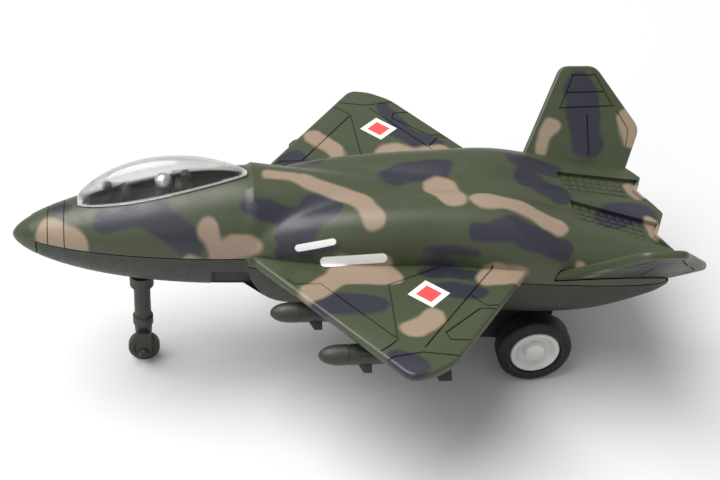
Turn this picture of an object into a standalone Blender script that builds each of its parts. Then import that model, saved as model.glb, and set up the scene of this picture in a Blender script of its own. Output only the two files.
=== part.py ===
"""Toy stealth jet with a pull-back motor: a painted upper shell on a plain lower shell.

Metres, +Z up, nose towards -Y, symmetric about X = 0.  Every piece is drawn in the airframe's own
frame, where the wing is level, in millimetres.  An empty then pitches the whole toy nose up, so that
its three wheels stand on z = 0.
"""
import math

import bmesh
import bpy
from mathutils import Matrix, Vector

MM = 0.001
GAP = 0.3                 # clearance between two pieces that touch

# stance of the toy on its wheels
PITCH = math.radians(3.6)
LIFT = 11.25              # airframe origin above the floor
SHIFT_Y = 0.94            # brings the middle of the toy's box to y = 0

# fuselage
NOSE_Y = -90.3
TAIL_Y = 83.0
NOSE_LENGTH = 60.0
BODY_R = 14.3
CENTRE_Z = 29.6
CHIN_END = -84.3          # the nose cone ends here and the lower shell begins
SPLIT_FRONT = 31.0        # joint between the shells ahead of the wing
SPLIT_REAR = 28.4         # joint under the wing
WING_START_Y = -31.0
WALL = 1.6
HUMP_BLEND = 2.2          # height over which the spine and a nacelle hump run together

# wing
WING_TOP = 31.6
WING_RISE = 0.034
WING_THICK = 2.9
WING_PLAN = ((9.0, -30.4), (15.3, -30.4), (60.4, 2.7), (61.5, 4.6), (60.8, 9.4), (56.8, 15.6),
             (21.0, 41.9), (10.0, 46.0))

# tail fins
FIN_ROOT = (24.2, 31.0)
FIN_SLOPE = 49.0
FIN_PLAN = ((-3.0, 46.0), (28.8, 61.2), (28.8, 71.6), (10.6, 84.0), (-3.0, 78.6))
FIN_THICK = 2.0

# canopy and cockpit
CANOPY_Y = (-74.0, -30.0)
CANOPY_HALF = 5.2
CANOPY_HEIGHT = 8.8
CANOPY_WALL = 0.8

# wheels
AXLE = (46.9, 1.9)
TYRE_R = 10.2
TYRE_X = (15.6, 22.4)
RIM_R = 7.1
AXLE_R = 1.2
NOSE_AXLE = (-58.1, -10.6)
NOSE_WHEEL_R = 4.3
NOSE_WHEEL_W = 3.4

# screws, each a place (x, y) under the keel
SCREWS = ((0.0, -36.3), (0.0, 66.4))
SCREW_TOP = 33.0
SEAT_DEPTH = 2.2          # of the screw heads, above the keel

# missiles under each wing: kind, distance from the middle, tip
MISSILES = (("inner", 28.5, -26.0), ("outer", 44.5, -15.5))
MISSILE_Z = 25.0
MISSILE_R = 2.6

# rear deck: half of its saw-tooth edge, and the floor of one exhaust trough, as (x, y)
DECK_TEETH = ((30.0, 76.0), (22.5, 77.6), (16.7, 81.6), (10.1, 78.4), (0.0, 83.2))
TROUGH = ((2.0, 55.4), (10.8, 54.6), (15.4, 80.4), (10.2, 77.4), (5.0, 80.0))
TROUGH_DEPTH = 1.1
NOSE_RINGS = (-81.0, -76.8)

# pull-back motor
MODULE = 0.6
PINION_TEETH = 10
IDLER_TEETH = 30
DRUM_TEETH = 28
IDLER = (41.55, 12.74)
DRUM = (30.1, 13.9)
CASE_X = 12.2
CASE_WALL = 1.2

OLIVE = (0.115, 0.125, 0.075)
DARK_OLIVE = (0.052, 0.056, 0.032)
BLACK = (0.012, 0.012, 0.013)
SILVER = (0.62, 0.62, 0.60)
STEEL = (0.55, 0.55, 0.56)
WHITE = (0.75, 0.75, 0.73)
CLEAR = (0.93, 0.95, 0.96)


# ---------------------------------------------------------------- helpers

def clear_scene():
    for obj in list(bpy.data.objects):
        bpy.data.objects.remove(obj, do_unlink=True)


def material(name, colour, rough, metal=0.0, alpha=1.0):
    mat = bpy.data.materials.get(name)
    if mat:
        return mat
    mat = bpy.data.materials.new(name)
    mat.use_nodes = True
    shader = mat.node_tree.nodes["Principled BSDF"]
    shader.inputs["Base Color"].default_value = (*colour, 1.0)
    shader.inputs["Roughness"].default_value = rough
    shader.inputs["Metallic"].default_value = metal
    shader.inputs["Alpha"].default_value = alpha
    return mat


def smooth(t):
    t = min(max(t, 0.0), 1.0)
    return t * t * (3.0 - 2.0 * t)


def line(points, y):
    """Straight runs through a few (y, value) points."""
    if y <= points[0][0]:
        return points[0][1]
    for (y0, v0), (y1, v1) in zip(points, points[1:]):
        if y <= y1:
            return v0 + (v1 - v0) * (y - y0) / (y1 - y0)
    return points[-1][1]


def make(name, verts, faces, mat):
    """A named object in the airframe's frame, its mesh in metres."""
    mesh = bpy.data.meshes.new(name)
    mesh.from_pydata([Vector(v) * MM for v in verts], [], faces)
    mesh.validate()
    bm = bmesh.new()
    bm.from_mesh(mesh)
    bmesh.ops.remove_doubles(bm, verts=bm.verts, dist=1e-6)
    bmesh.ops.recalc_face_normals(bm, faces=bm.faces)
    if bm.calc_volume(signed=True) < 0.0:
        bmesh.ops.reverse_faces(bm, faces=bm.faces)
    bm.to_mesh(mesh)
    bm.free()
    mesh.shade_smooth()
    mesh.set_sharp_from_angle(angle=math.radians(35))
    obj = bpy.data.objects.new(name, mesh)
    if mat:
        mesh.materials.append(mat)
    bpy.context.collection.objects.link(obj)
    return obj


def loft(name, rings, mat=None):
    """Closed solid through rings of equal length, its two ends filled."""
    count = len(rings[0])
    verts = [p for ring in rings for p in ring]
    faces = [tuple(range(count))[::-1]]
    for i in range(len(rings) - 1):
        for j in range(count):
            k = (j + 1) % count
            faces.append((i * count + j, i * count + k, (i + 1) * count + k, (i + 1) * count + j))
    last = (len(rings) - 1) * count
    faces.append(tuple(last + j for j in range(count)))
    return make(name, verts, faces, mat)


def prism(name, outline, low, high, mat=None, axis="z"):
    """Outline extruded along an axis; outline is (x, y) for z and (y, z) for x."""
    def put(p, h):
        return (p[0], p[1], h) if axis == "z" else (h, p[0], p[1])
    return loft(name, [[put(p, low) for p in outline], [put(p, high) for p in outline]], mat)


def circle(centre, radius, count=24, phase=0.0):
    steps = [phase + 2.0 * math.pi * i / count for i in range(count)]
    return [(centre[0] + radius * math.cos(a), centre[1] + radius * math.sin(a)) for a in steps]


def turned_x(name, centre, profile, mat=None, count=32):
    """Profile of (x, radius) turned about the line through centre = (y, z) along X."""
    rings = []
    for x, radius in profile:
        rings.append([(x, y, z) for y, z in circle(centre, radius, count)])
    return loft(name, rings, mat)


def ring_x(name, centre, profile, mat=None, count=32):
    """Closed profile of (x, radius) turned about X into a ring with a hole."""
    verts = []
    for i in range(count):
        a = 2.0 * math.pi * i / count
        for x, radius in profile:
            verts.append((x, centre[0] + radius * math.cos(a), centre[1] + radius * math.sin(a)))
    n = len(profile)
    faces = []
    for i in range(count):
        k = (i + 1) % count
        for j in range(n):
            m = (j + 1) % n
            faces.append((i * n + j, i * n + m, k * n + m, k * n + j))
    return make(name, verts, faces, mat)


def ring_y(name, centre, profile, mat=None, count=32):
    """Closed profile of (y, radius) turned about Y into a ring with a hole."""
    verts = []
    for i in range(count):
        a = 2.0 * math.pi * i / count
        for y, radius in profile:
            verts.append((centre[0] + radius * math.cos(a), y, centre[1] + radius * math.sin(a)))
    n = len(profile)
    faces = []
    for i in range(count):
        k = (i + 1) % count
        for j in range(n):
            m = (j + 1) % n
            faces.append((i * n + j, i * n + m, k * n + m, k * n + j))
    return make(name, verts, faces, mat)


def turned_y(name, centre, profile, mat=None, count=20):
    """Profile of (y, radius) turned about the line through centre = (x, z) along Y."""
    rings = []
    for y, radius in profile:
        rings.append([(x, y, z) for x, z in circle(centre, radius, count)])
    return loft(name, rings, mat)


def turned_z(name, centre, profile, mat=None, count=20):
    """Profile of (z, radius) turned about the line through centre = (x, y) along Z."""
    rings = []
    for z, radius in profile:
        rings.append([(x, y, z) for x, y in circle(centre, radius, count)])
    return loft(name, rings, mat)


def box(name, low, high, mat=None):
    outline = [(low[0], low[1]), (high[0], low[1]), (high[0], high[1]), (low[0], high[1])]
    return prism(name, outline, low[2], high[2], mat)


def boolean(target, other, operation):
    """Applies an exact boolean now and removes the other object."""
    mod = target.modifiers.new("cut", "BOOLEAN")
    mod.operation = operation
    mod.solver = "EXACT"
    mod.object = other
    bpy.context.view_layer.update()
    graph = bpy.context.evaluated_depsgraph_get()
    mesh = bpy.data.meshes.new_from_object(target.evaluated_get(graph))
    target.modifiers.clear()
    old = target.data
    target.data = mesh
    mesh.name = old.name
    bpy.data.objects.remove(other, do_unlink=True)
    return target


def cut(target, *others):
    for other in others:
        boolean(target, other, "DIFFERENCE")
    return target


def join(target, *others):
    for other in others:
        boolean(target, other, "UNION")
    return target


def mirrored(points):
    return [(-x, y, z) for x, y, z in points]


# ---------------------------------------------------------------- fuselage surfaces

SPINE = ((-30.0, 17.4), (-8.0, 14.6), (14.0, 12.6), (34.0, 11.6), (54.0, 8.2), (83.0, 0.6))
CREST = ((-33.0, 4.0), (-24.0, 9.0), (-10.0, 12.0), (6.0, 13.4), (28.0, 13.8), (38.0, 12.6),
         (54.0, 8.0), (83.0, 0.4))
CREST_X = ((-33.0, 8.5), (0.0, 9.6), (28.0, 10.2), (46.0, 12.2), (83.0, 15.0))
HALF_WIDTH = ((-31.0, 14.3), (-20.0, 17.5), (0.0, 19.8), (20.0, 21.0), (48.0, 24.6), (74.0, 25.2),
              (83.0, 21.0))
KEEL = ((-31.0, 15.3), (-25.0, 13.6), (-18.0, 13.0), (20.0, 12.8), (57.0, 13.6), (83.0, 26.4))


def nose_radius(y):
    t = min(max((y - NOSE_Y) / NOSE_LENGTH, 0.0), 1.0)
    return BODY_R * (1.0 - (1.0 - t) ** 2) ** 0.6


def half_width(y):
    return nose_radius(y) if y < WING_START_Y else line(HALF_WIDTH, y)


def top_height(x, y, base):
    """Height of the upper skin above the wing plane."""
    x = abs(x)
    wide = half_width(y)
    rise = 1.0 + 0.235 * smooth((y + 84.0) / 54.0)
    if y < -30.0:
        crown = CENTRE_Z + nose_radius(y) * rise - base
    else:
        crown = line(SPINE, y) + SPLIT_FRONT - base
    spine_wide = wide if y < -30.0 else line(((-30.0, 14.3), (10.0, 9.0), (83.0, 7.0)), y)
    u = min(x / spine_wide, 1.0)
    spine = crown * math.sqrt(max(1.0 - u * u, 0.0))
    if y < -33.0:
        return spine
    crest = line(CREST, y)
    centre = line(CREST_X, y)
    reach = wide - centre if x > centre else centre + 3.0
    v = min(abs(x - centre) / reach, 1.0)
    hump = crest * math.sqrt(max(1.0 - v ** 2.3, 0.0))
    mix = max(HUMP_BLEND - abs(spine - hump), 0.0) / HUMP_BLEND
    return max(spine, hump) + mix * mix * HUMP_BLEND / 4.0


def split_height(y):
    """Joint between the shells: it drops under the wing over one millimetre."""
    return line(((WING_START_Y - 0.5, SPLIT_FRONT), (WING_START_Y + 0.5, SPLIT_REAR)), y)


def upper_ring(y, shrink=0.0, count=20, base=None):
    base = split_height(y) if base is None else base
    wide = half_width(y) - shrink
    ring = []
    for i in range(count + 1):
        a = math.pi * i / count
        x = wide * math.cos(a)
        grow = wide / (wide + shrink)
        z = SPLIT_FRONT + top_height(x / grow, y, SPLIT_FRONT)
        ring.append((x, y, z - shrink))
    return [(wide, y, base)] + ring + [(-wide, y, base)]


def lower_ring(y, shrink=0.0, count=14):
    base = split_height(y)
    wide = half_width(y) - shrink
    keel = CENTRE_Z - nose_radius(y) if y < WING_START_Y else line(KEEL, y)
    depth = base - keel - shrink
    power = 2.0 + 1.2 * smooth((y - WING_START_Y + 0.5) / 9.0)
    ring = [(wide, y, base - GAP)]
    for i in range(count + 1):
        a = math.pi * i / count
        x = wide * math.cos(a) * (0.985 if 0 < i < count else 1.0)
        z = depth * (1.0 - abs(math.cos(a)) ** power) ** (1.0 / power)
        ring.append((x, y, base - GAP - 0.05 - z))
    ring.append((-wide, y, base - GAP))
    return ring


def nose_cone():
    """Round tip of the upper shell, ahead of the lower shell."""
    profile = [(y, nose_radius(y) + 0.06) for y in nose_stations() if y < CHIN_END - 0.2]
    profile.append((CHIN_END, nose_radius(CHIN_END) + 0.06))
    return turned_y("nose_cone", (0.0, CENTRE_Z), profile, count=24)


def wing_top(x):
    return WING_TOP + WING_RISE * abs(x)


def wing_half(side, plan, thick, lift=0.0):
    """Tapered plate with a bevelled edge."""
    inset = 0.9
    cx = sum(p[0] for p in plan) / len(plan)
    cy = sum(p[1] for p in plan) / len(plan)
    outline = plan if side > 0 else plan[::-1]

    def layer(offset, drop):
        out = []
        for x, y in outline:
            d = math.hypot(x - cx, y - cy)
            k = 1.0 - offset / d
            px = cx + (x - cx) * k
            py = cy + (y - cy) * k
            out.append((side * px, py, wing_top(px) + lift - drop))
        return out
    rings = [layer(inset * 1.6, thick), layer(0.0, thick * 0.62), layer(0.25, thick * 0.3), layer(inset, 0.0)]
    return loft("wing", rings)


def groove(points, width=0.55, depth=0.5):
    """Shallow panel line cut into the wing's top along a path of (x, y) points."""
    rings = []
    for i, (x, y) in enumerate(points):
        a = points[max(i - 1, 0)]
        b = points[min(i + 1, len(points) - 1)]
        d = Vector((b[0] - a[0], b[1] - a[1])).normalized()
        n = (-d.y * width / 2, d.x * width / 2)
        if i == 0:
            x, y = x - d.x * 0.2, y - d.y * 0.2
        top = wing_top(x)
        rings.append([(x + n[0], y + n[1], top - depth), (x + n[0], y + n[1], top + 1.0),
                      (x - n[0], y - n[1], top + 1.0), (x - n[0], y - n[1], top - depth)])
    return rings


WING_LINES = (
    ((24.6, -21.5), (26.4, -19.8), (26.6, -13.5), (48.0, 2.3)),
    ((21.0, 17.6), (27.6, 3.4), (48.6, 2.6), (50.6, 0.6), (52.6, -2.0)),
    ((22.0, 31.0), (51.8, 8.6)),
    ((33.0, 23.6), (37.0, 26.6), (36.6, 31.4)),
    ((38.2, 29.8), (38.0, 24.6), (46.6, 14.6), (49.2, 15.4), (49.6, 20.0)),
    ((55.6, -0.6), (54.6, 1.0), (53.4, 8.0), (55.2, 17.0)),
)


def wing_line_cutter(side, path):
    rings = groove(path)
    if side < 0:
        rings = [mirrored(ring)[::-1] for ring in rings]
    return loft("groove", rings)


def stations(first, last, count):
    return [first + (last - first) * i / (count - 1) for i in range(count)]


def nose_stations():
    """Close together at the tip, wider apart towards the cockpit."""
    first, last = NOSE_Y + 0.12, WING_START_Y - 0.5
    return [first + (last - first) * (i / 17.0) ** 1.8 for i in range(18)]


def fin_point(side, s, y, n):
    """Point on a tail fin: s along its slope, n along its outer normal."""
    a = math.radians(FIN_SLOPE)
    x = FIN_ROOT[0] + s * math.cos(a) + n * math.sin(a)
    z = FIN_ROOT[1] + s * math.sin(a) - n * math.cos(a)
    return (side * x, y, z)


def fin_solid(side, name="fin", grow=0.0, mat=None):
    cs = sum(p[0] for p in FIN_PLAN) / len(FIN_PLAN)
    cy = sum(p[1] for p in FIN_PLAN) / len(FIN_PLAN)
    rings = []
    for n, inset in ((-FIN_THICK / 2 - grow, 0.6 - grow), (-0.35, -grow), (0.35, -grow),
                     (FIN_THICK / 2 + grow, 0.6 - grow)):
        ring = []
        for s, y in FIN_PLAN:
            d = math.hypot(s - cs, y - cy)
            k = 1.0 - inset / d
            ring.append(fin_point(side, cs + (s - cs) * k, cy + (y - cy) * k, n))
        rings.append(ring)
    return loft(name, rings, mat)


# ---------------------------------------------------------------- canopy and cockpit

def canopy_span(y):
    return min(max((y - CANOPY_Y[0]) / (CANOPY_Y[1] - CANOPY_Y[0]), 0.0), 1.0)


def canopy_half(y):
    return CANOPY_HALF * math.sin(math.pi * canopy_span(y) ** 0.85) ** 0.55


def canopy_rise(y):
    return CANOPY_HEIGHT * math.sin(math.pi * canopy_span(y) ** 0.75) ** 0.8


def sill(x, y):
    return SPLIT_FRONT + top_height(x, y, SPLIT_FRONT)


def canopy_outline(inset, count=14, ends=0.8):
    """Plan outline of the cockpit opening, inset from the canopy's edge."""
    ys = stations(CANOPY_Y[0] + ends + inset, CANOPY_Y[1] - ends - inset, count)
    right = [(max(canopy_half(y) - inset, 0.35), y) for y in ys]
    return right + [(-x, y) for x, y in reversed(right)]


def canopy_solid(name, mat):
    """Clear bubble with an open underside and a thin wall."""
    def shell(shrink, drop, tag, ends):
        rings = []
        for y in stations(CANOPY_Y[0] + ends, CANOPY_Y[1] - ends, 16):
            half = max(canopy_half(y) - shrink, 0.25)
            rise = max(canopy_rise(y) - shrink, 0.3)
            base = sill(half, y) + GAP
            ring = [(half, y, base - drop)]
            for i in range(11):
                a = math.pi * i / 10
                ring.append((half * math.cos(a), y, base + rise * math.sin(a)))
            ring.append((-half, y, base - drop))
            rings.append(ring)
        return loft(tag, rings, mat)
    outer = shell(0.0, 0.02, name, 0.6)
    return cut(outer, shell(CANOPY_WALL, 4.0, "inner", 2.0))


# ---------------------------------------------------------------- shells

def screw_holes(radius, low, high):
    return [turned_z("hole", place, ((low, radius), (high, radius)), count=15) for place in SCREWS]


def upper_body():
    mat = material("camouflage_shell", OLIVE, 0.45)
    rings = [upper_ring(y) for y in [CHIN_END - 1.2] + [y for y in nose_stations() if y > CHIN_END]]
    rings += [upper_ring(y) for y in stations(WING_START_Y + 0.5, TAIL_Y, 24)]
    body = loft("upper_body", rings, mat)
    for side in (1, -1):
        join(body, wing_half(side, WING_PLAN, WING_THICK))
    join(body, nose_cone())
    # teeth of the rear deck, cut through from above
    far_edge = [(-34.0, 95.0), (34.0, 95.0)]
    outline = list(DECK_TEETH) + [(-x, y) for x, y in reversed(DECK_TEETH[:-1])] + far_edge
    cut(body, prism("teeth", outline, 20.0, 60.0))
    # exhaust troughs sunk into the deck
    for side in (1, -1):
        rings = []
        for lift in (-TROUGH_DEPTH, 4.0):
            ring = [(side * x, y, SPLIT_FRONT + top_height(13.0, y, SPLIT_FRONT) + lift) for x, y in TROUGH]
            rings.append(ring if side > 0 else ring[::-1])
        cut(body, loft("trough", rings))
    # hollow for the motor
    inner = [upper_ring(y, WALL, 16, base=SPLIT_REAR - 1.0) for y in stations(-18.0, 52.0, 12)]
    cut(body, loft("hollow", inner))
    # cockpit opening
    cut(body, prism("opening", canopy_outline(0.5), 35.2, 60.0))
    # grooves round the nose
    for y in NOSE_RINGS:
        low, high = nose_radius(y) - 0.45, nose_radius(y) + 5.0
        profile = ((y - 0.2, low), (y + 0.2, low), (y + 0.2, high), (y - 0.2, high))
        cut(body, ring_y("ring", (0.0, CENTRE_Z), profile))
    for side in (1, -1):
        cut(body, fin_solid(side, grow=GAP))
        for path in WING_LINES:
            cut(body, wing_line_cutter(side, path))
    cut(body, *screw_holes(0.9, 20.0, 33.5))
    return body


def lower_body():
    mat = material("plain_shell", DARK_OLIVE, 0.5)
    front = [CHIN_END + GAP] + [y for y in nose_stations() if y > CHIN_END + 0.6]
    rings = [lower_ring(y) for y in front]
    rings += [lower_ring(y) for y in stations(WING_START_Y + 0.5, TAIL_Y - 4.6, 15)]
    body = loft("lower_body", rings, mat)
    # intake mouths
    for side in (1, -1):
        mouth = [(side * 5.6, 25.6), (side * 14.2, 26.2), (side * 12.6, 17.4), (side * 6.6, 16.8)]
        rings = [[(x, -40.0, z) for x, z in mouth], [(x, -23.5, z) for x, z in mouth]]
        cut(body, loft("mouth", rings))
    inner = [lower_ring(y, WALL, 12) for y in stations(-18.0, 54.0, 10)]
    open_top = [[(x, y, z + (4.0 if z > SPLIT_REAR - 0.5 else 0.0)) for x, y, z in ring] for ring in inner]
    hollow = loft("hollow", open_top)
    cut(body, hollow)
    # bay for the motor and the wheels
    cut(body, box("bay", (-12.8, 17.8, -5.0), (12.8, 54.2, 40.0)))
    # exhaust outlets
    for side in (1, -1):
        cut(body, box("outlet", (side * 11.0 - 6.0, 70.0, 26.0), (side * 11.0 + 6.0, 90.0, 40.0)))
    cut(body, turned_z("socket", (0.0, NOSE_AXLE[0]), ((5.0, 2.0 + GAP), (24.0, 2.0 + GAP))))
    cut(body, *screw_holes(1.3, 0.0, 40.0))
    for place in SCREWS:
        seat = line(KEEL, place[1]) + SEAT_DEPTH
        cut(body, turned_z("seat", place, ((0.0, 2.4), (seat, 2.4)), count=15))
    return body


def tail_fins():
    mat = material("camouflage_fin", OLIVE, 0.45)
    for side, name in ((1, "left_tail_fin"), (-1, "right_tail_fin")):
        fin_solid(side, name, 0.0, mat)


def cockpit():
    tub_mat = material("cockpit_plastic", (0.02, 0.02, 0.02), 0.55)
    olive = material("cockpit_fittings", DARK_OLIVE, 0.5)
    silver = material("helmet_silver", SILVER, 0.35, 0.6)
    tub = prism("cockpit_tub", canopy_outline(0.5 + GAP), 35.6, 60.0, tub_mat)
    # slanted rim just under the sill
    rim = [(-90.0, 38.4), (-74.0, 38.4), (-52.0, 41.9), (-30.0, 45.4), (0.0, 45.4), (0.0, 80.0),
           (-90.0, 80.0)]
    cut(tub, prism("rim", rim, -20.0, 20.0, axis="x"))
    floor = [(-90.0, 37.0), (-72.0, 37.0), (-30.0, 40.2), (-20.0, 80.0), (-90.0, 80.0)]
    hollow = prism("hollow", canopy_outline(1.4, ends=1.4), 36.4, 70.0)
    boolean(hollow, prism("floor", floor, -20.0, 20.0, axis="x"), "INTERSECT")
    cut(tub, hollow)
    panel = [(-62.6, 38.2), (-59.6, 38.4), (-60.2, 44.0), (-62.2, 43.6)]
    prism("instrument_panel", panel, -2.2, 2.2, olive, "x")
    post = ((38.0, 0.9), (43.4, 0.7), (43.8, 1.3), (45.0, 1.0))
    turned_z("sight_post", (0.0, -65.6), post, olive, 12)
    seat = prism("ejection_seat", [(-55.5, 38.9), (-45.0, 39.7), (-44.6, 44.6), (-48.6, 44.4), (-49.2, 41.3),
                                   (-55.5, 40.4)], -2.0, 2.0, olive, "x")
    join(seat, prism("head_rest", [(-47.6, 43.0), (-45.4, 43.0), (-44.8, 47.2), (-45.8, 48.2), (-47.2, 47.8)],
                     -1.1, 1.1, None, "x"))
    rings = []
    for z, a, b, y in ((41.5, 1.3, 1.2, -52.6), (41.9, 1.6, 1.4, -52.4), (42.7, 1.9, 1.2, -52.0),
                       (43.2, 0.9, 0.9, -51.7), (43.5, 0.8, 0.8, -51.7)):
        rings.append([(a * math.cos(t), y + b * math.sin(t), z) for t in
                      (2 * math.pi * i / 14 for i in range(14))])
    loft("pilot_figure", rings, olive)
    head = turned_z("pilot_helmet", (0.0, -51.7), ((43.85, 1.2), (44.4, 1.95), (45.2, 2.25), (46.2, 2.1),
                                                   (47.0, 1.5), (47.45, 0.6)), silver, 16)
    visor = box("visor", (-1.4, -55.0, 44.6), (1.4, -53.55, 45.8))
    cut(head, visor)
    canopy_solid("canopy", material("clear_canopy", CLEAR, 0.05, 0.0, 0.25))


# ---------------------------------------------------------------- undercarriage

def nose_gear():
    olive = material("gear_plastic", DARK_OLIVE, 0.5)
    steel = material("steel_pin", STEEL, 0.3, 1.0)
    y, z = NOSE_AXLE
    profile = ((-5.2, 2.3), (-2.0, 2.4), (-2.0, 2.75), (0.8, 2.75), (0.8, 2.2), (11.6, 2.2), (11.6, 3.2),
               (15.2, 3.2), (15.2, 2.0), (22.0, 2.0))
    leg = turned_z("nose_gear_leg", (0.0, y), profile, olive, 20)
    for side in (1, -1):
        near = side * (NOSE_WHEEL_W / 2 + GAP)
        far = side * (NOSE_WHEEL_W / 2 + GAP + 1.2)
        cheek = [(y - 2.1, -3.6), (y + 2.1, -3.6), (y + 2.0, z), (y + 1.4, z - 1.6), (y - 1.4, z - 1.6),
                 (y - 2.0, z)]
        join(leg, prism("cheek", cheek, min(near, far), max(near, far), axis="x"))
    cut(leg, turned_x("hole", (y, z), ((-8.0, 0.72), (8.0, 0.72)), count=16))
    rubber = material("nose_wheel_plastic", DARK_OLIVE, 0.5)
    w = NOSE_WHEEL_W / 2
    r = NOSE_WHEEL_R
    tread = ((-w, 1.0), (-w, r - 1.3), (-w + 0.2, r - 0.4), (-w + 0.7, r), (w - 0.7, r), (w - 0.2, r - 0.4),
             (w, r - 1.3), (w, 1.0))
    ring_x("nose_wheel", NOSE_AXLE, tread, rubber, 20)
    pin = w + 1.2 + GAP
    turned_x("nose_axle_pin", NOSE_AXLE, ((-pin - 0.9, 1.0), (-pin - GAP, 1.5), (-pin - GAP, 0.64),
                                          (pin + GAP, 0.64), (pin + GAP, 1.5), (pin + 0.9, 1.0)), steel, 16)


def main_wheels():
    steel = material("steel_axle", STEEL, 0.3, 1.0)
    silver = material("hub_plastic", WHITE, 0.4)
    rubber = material("tyre_rubber", BLACK, 0.7)
    out = TYRE_X[1]
    turned_x("main_axle", AXLE, ((-out + 1.2, AXLE_R), (out - 1.2, AXLE_R)), steel, 16)
    for side, tag in ((1, "left"), (-1, "right")):
        x0, x1 = TYRE_X
        hub = turned_x(tag + "_wheel_hub", AXLE,
                       [(side * x, r) for x, r in ((x0 + 0.6, RIM_R - 1.0), (x0 + 0.6, RIM_R - 0.3),
                                                   (x1 - 0.9, RIM_R - 0.3), (x1 - 0.4, RIM_R - 0.9),
                                                   (x1 - 0.9, RIM_R - 1.8), (x1 - 2.4, 4.2), (x1 - 2.4, 3.0),
                                                   (x1 - 0.7, 2.7), (x1 - 0.4, 2.2))], silver, 24)
        cut(hub, turned_x("bore", AXLE, ((min(side * 10.0, side * (out - 0.9)), AXLE_R + 0.06),
                                         (max(side * 10.0, side * (out - 0.9)), AXLE_R + 0.06)), count=16))
        flip = [(side * x, r) for x, r in ((x0 + 0.4, RIM_R), (x0, RIM_R + 0.8), (x0 + 0.3, TYRE_R - 1.0),
                                           (x0 + 1.2, TYRE_R), (x1 - 1.2, TYRE_R), (x1 - 0.3, TYRE_R - 1.0),
                                           (x1, RIM_R + 0.8), (x1 - 0.4, RIM_R))]
        ring_x(tag + "_tyre", AXLE, flip, rubber, 28)


# ---------------------------------------------------------------- pull-back motor

def gear_outline(centre, teeth, phase, addendum=1.0, dedendum=1.15):
    pitch = MODULE * teeth / 2
    out = []
    for i in range(teeth):
        a = phase + 2.0 * math.pi * i / teeth
        step = 2.0 * math.pi / teeth
        for shift, radius in ((-0.27, pitch - dedendum * MODULE), (-0.115, pitch + addendum * MODULE),
                              (0.115, pitch + addendum * MODULE), (0.27, pitch - dedendum * MODULE)):
            t = a + shift * step
            out.append((centre[0] + radius * math.cos(t), centre[1] + radius * math.sin(t)))
    return out


def facing(a, b):
    return math.atan2(b[1] - a[1], b[0] - a[0])


def motor():
    black = material("motor_case_plastic", BLACK, 0.45)
    nylon = material("gear_nylon", WHITE, 0.5)
    steel = material("spring_steel", STEEL, 0.3, 1.0)
    outline = [(18.8, 4.0), (22.0, 1.0), (40.0, -1.0), (43.5, -3.4), (50.6, -3.4), (53.0, -1.0), (53.0, 19.0),
               (48.0, 24.6), (23.0, 24.8), (18.8, 22.4)]
    cy = sum(p[0] for p in outline) / len(outline)
    cz = sum(p[1] for p in outline) / len(outline)

    def inset(d):
        return [(y - math.copysign(d, y - cy), z - math.copysign(d, z - cz)) for y, z in outline]
    for side, tag in ((1, "left"), (-1, "right")):
        inner, outer = side * GAP / 2, side * CASE_X
        half = prism(tag + "_motor_case", outline, min(inner, outer), max(inner, outer), black, "x")
        floor = side * (CASE_X - CASE_WALL)
        cut(half, prism("space", inset(CASE_WALL), min(-side, floor), max(-side, floor), axis="x"))
        cut(half, turned_x("hole", AXLE, ((-20.0, AXLE_R + 0.14), (20.0, AXLE_R + 0.14)), count=24))
        for place in (IDLER, DRUM):
            cut(half, turned_x("hole", place, ((-20.0, 0.84), (20.0, 0.84)), count=16))
    # gears; each pair has a tooth of one facing a gap of the other
    to_idler = facing(AXLE, IDLER)
    to_drum = facing(IDLER, DRUM)
    idler_phase = to_idler + math.pi + math.pi / IDLER_TEETH
    small_phase = to_drum
    drum_phase = to_drum + math.pi + math.pi / DRUM_TEETH
    pinion = prism("axle_pinion", gear_outline(AXLE, PINION_TEETH, to_idler), 4.4, 7.0, nylon, "x")
    cut(pinion, turned_x("bore", AXLE, ((0.0, AXLE_R + 0.06), (12.0, AXLE_R + 0.06)), count=16))
    idler = prism("idler_gear", gear_outline(IDLER, IDLER_TEETH, idler_phase), 4.6, 6.8, nylon, "x")
    join(idler, prism("small", gear_outline(IDLER, PINION_TEETH, small_phase), -1.0, 5.6, None, "x"))
    cut(idler, turned_x("bore", IDLER, ((-12.0, 0.86), (12.0, 0.86)), count=16))
    drum = prism("drum_gear", gear_outline(DRUM, DRUM_TEETH, drum_phase), 0.0, 2.0, nylon, "x")
    join(drum, turned_x("drum", DRUM, ((-8.0, 7.0), (0.5, 7.0)), count=32))
    cut(drum, turned_x("cup", DRUM, ((-9.0, 6.2), (-0.6, 6.2)), count=32))
    cut(drum, turned_x("bore", DRUM, ((-12.0, 0.86), (12.0, 0.86)), count=16))
    for name, place in (("idler_shaft", IDLER), ("drum_shaft", DRUM)):
        turned_x(name, place, ((-CASE_X + 0.2, 0.75), (CASE_X - 0.2, 0.75)), steel, 16)
    # mainspring: a spiral strip inside the drum
    turns = 3.5
    steps = 42
    inner_r, outer_r, strip = 1.8, 5.6, 0.3
    edge = []
    for sign in (1, -1):
        ring = []
        for i in range(steps + 1):
            t = i / steps
            a = 2.0 * math.pi * turns * t
            r = inner_r + (outer_r - inner_r) * t + sign * strip / 2
            ring.append((DRUM[0] + r * math.cos(a), DRUM[1] + r * math.sin(a)))
        edge += ring if sign > 0 else ring[::-1]
    prism("mainspring", edge, -7.4, -1.4, steel, "x")


# ---------------------------------------------------------------- stores and fasteners

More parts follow.
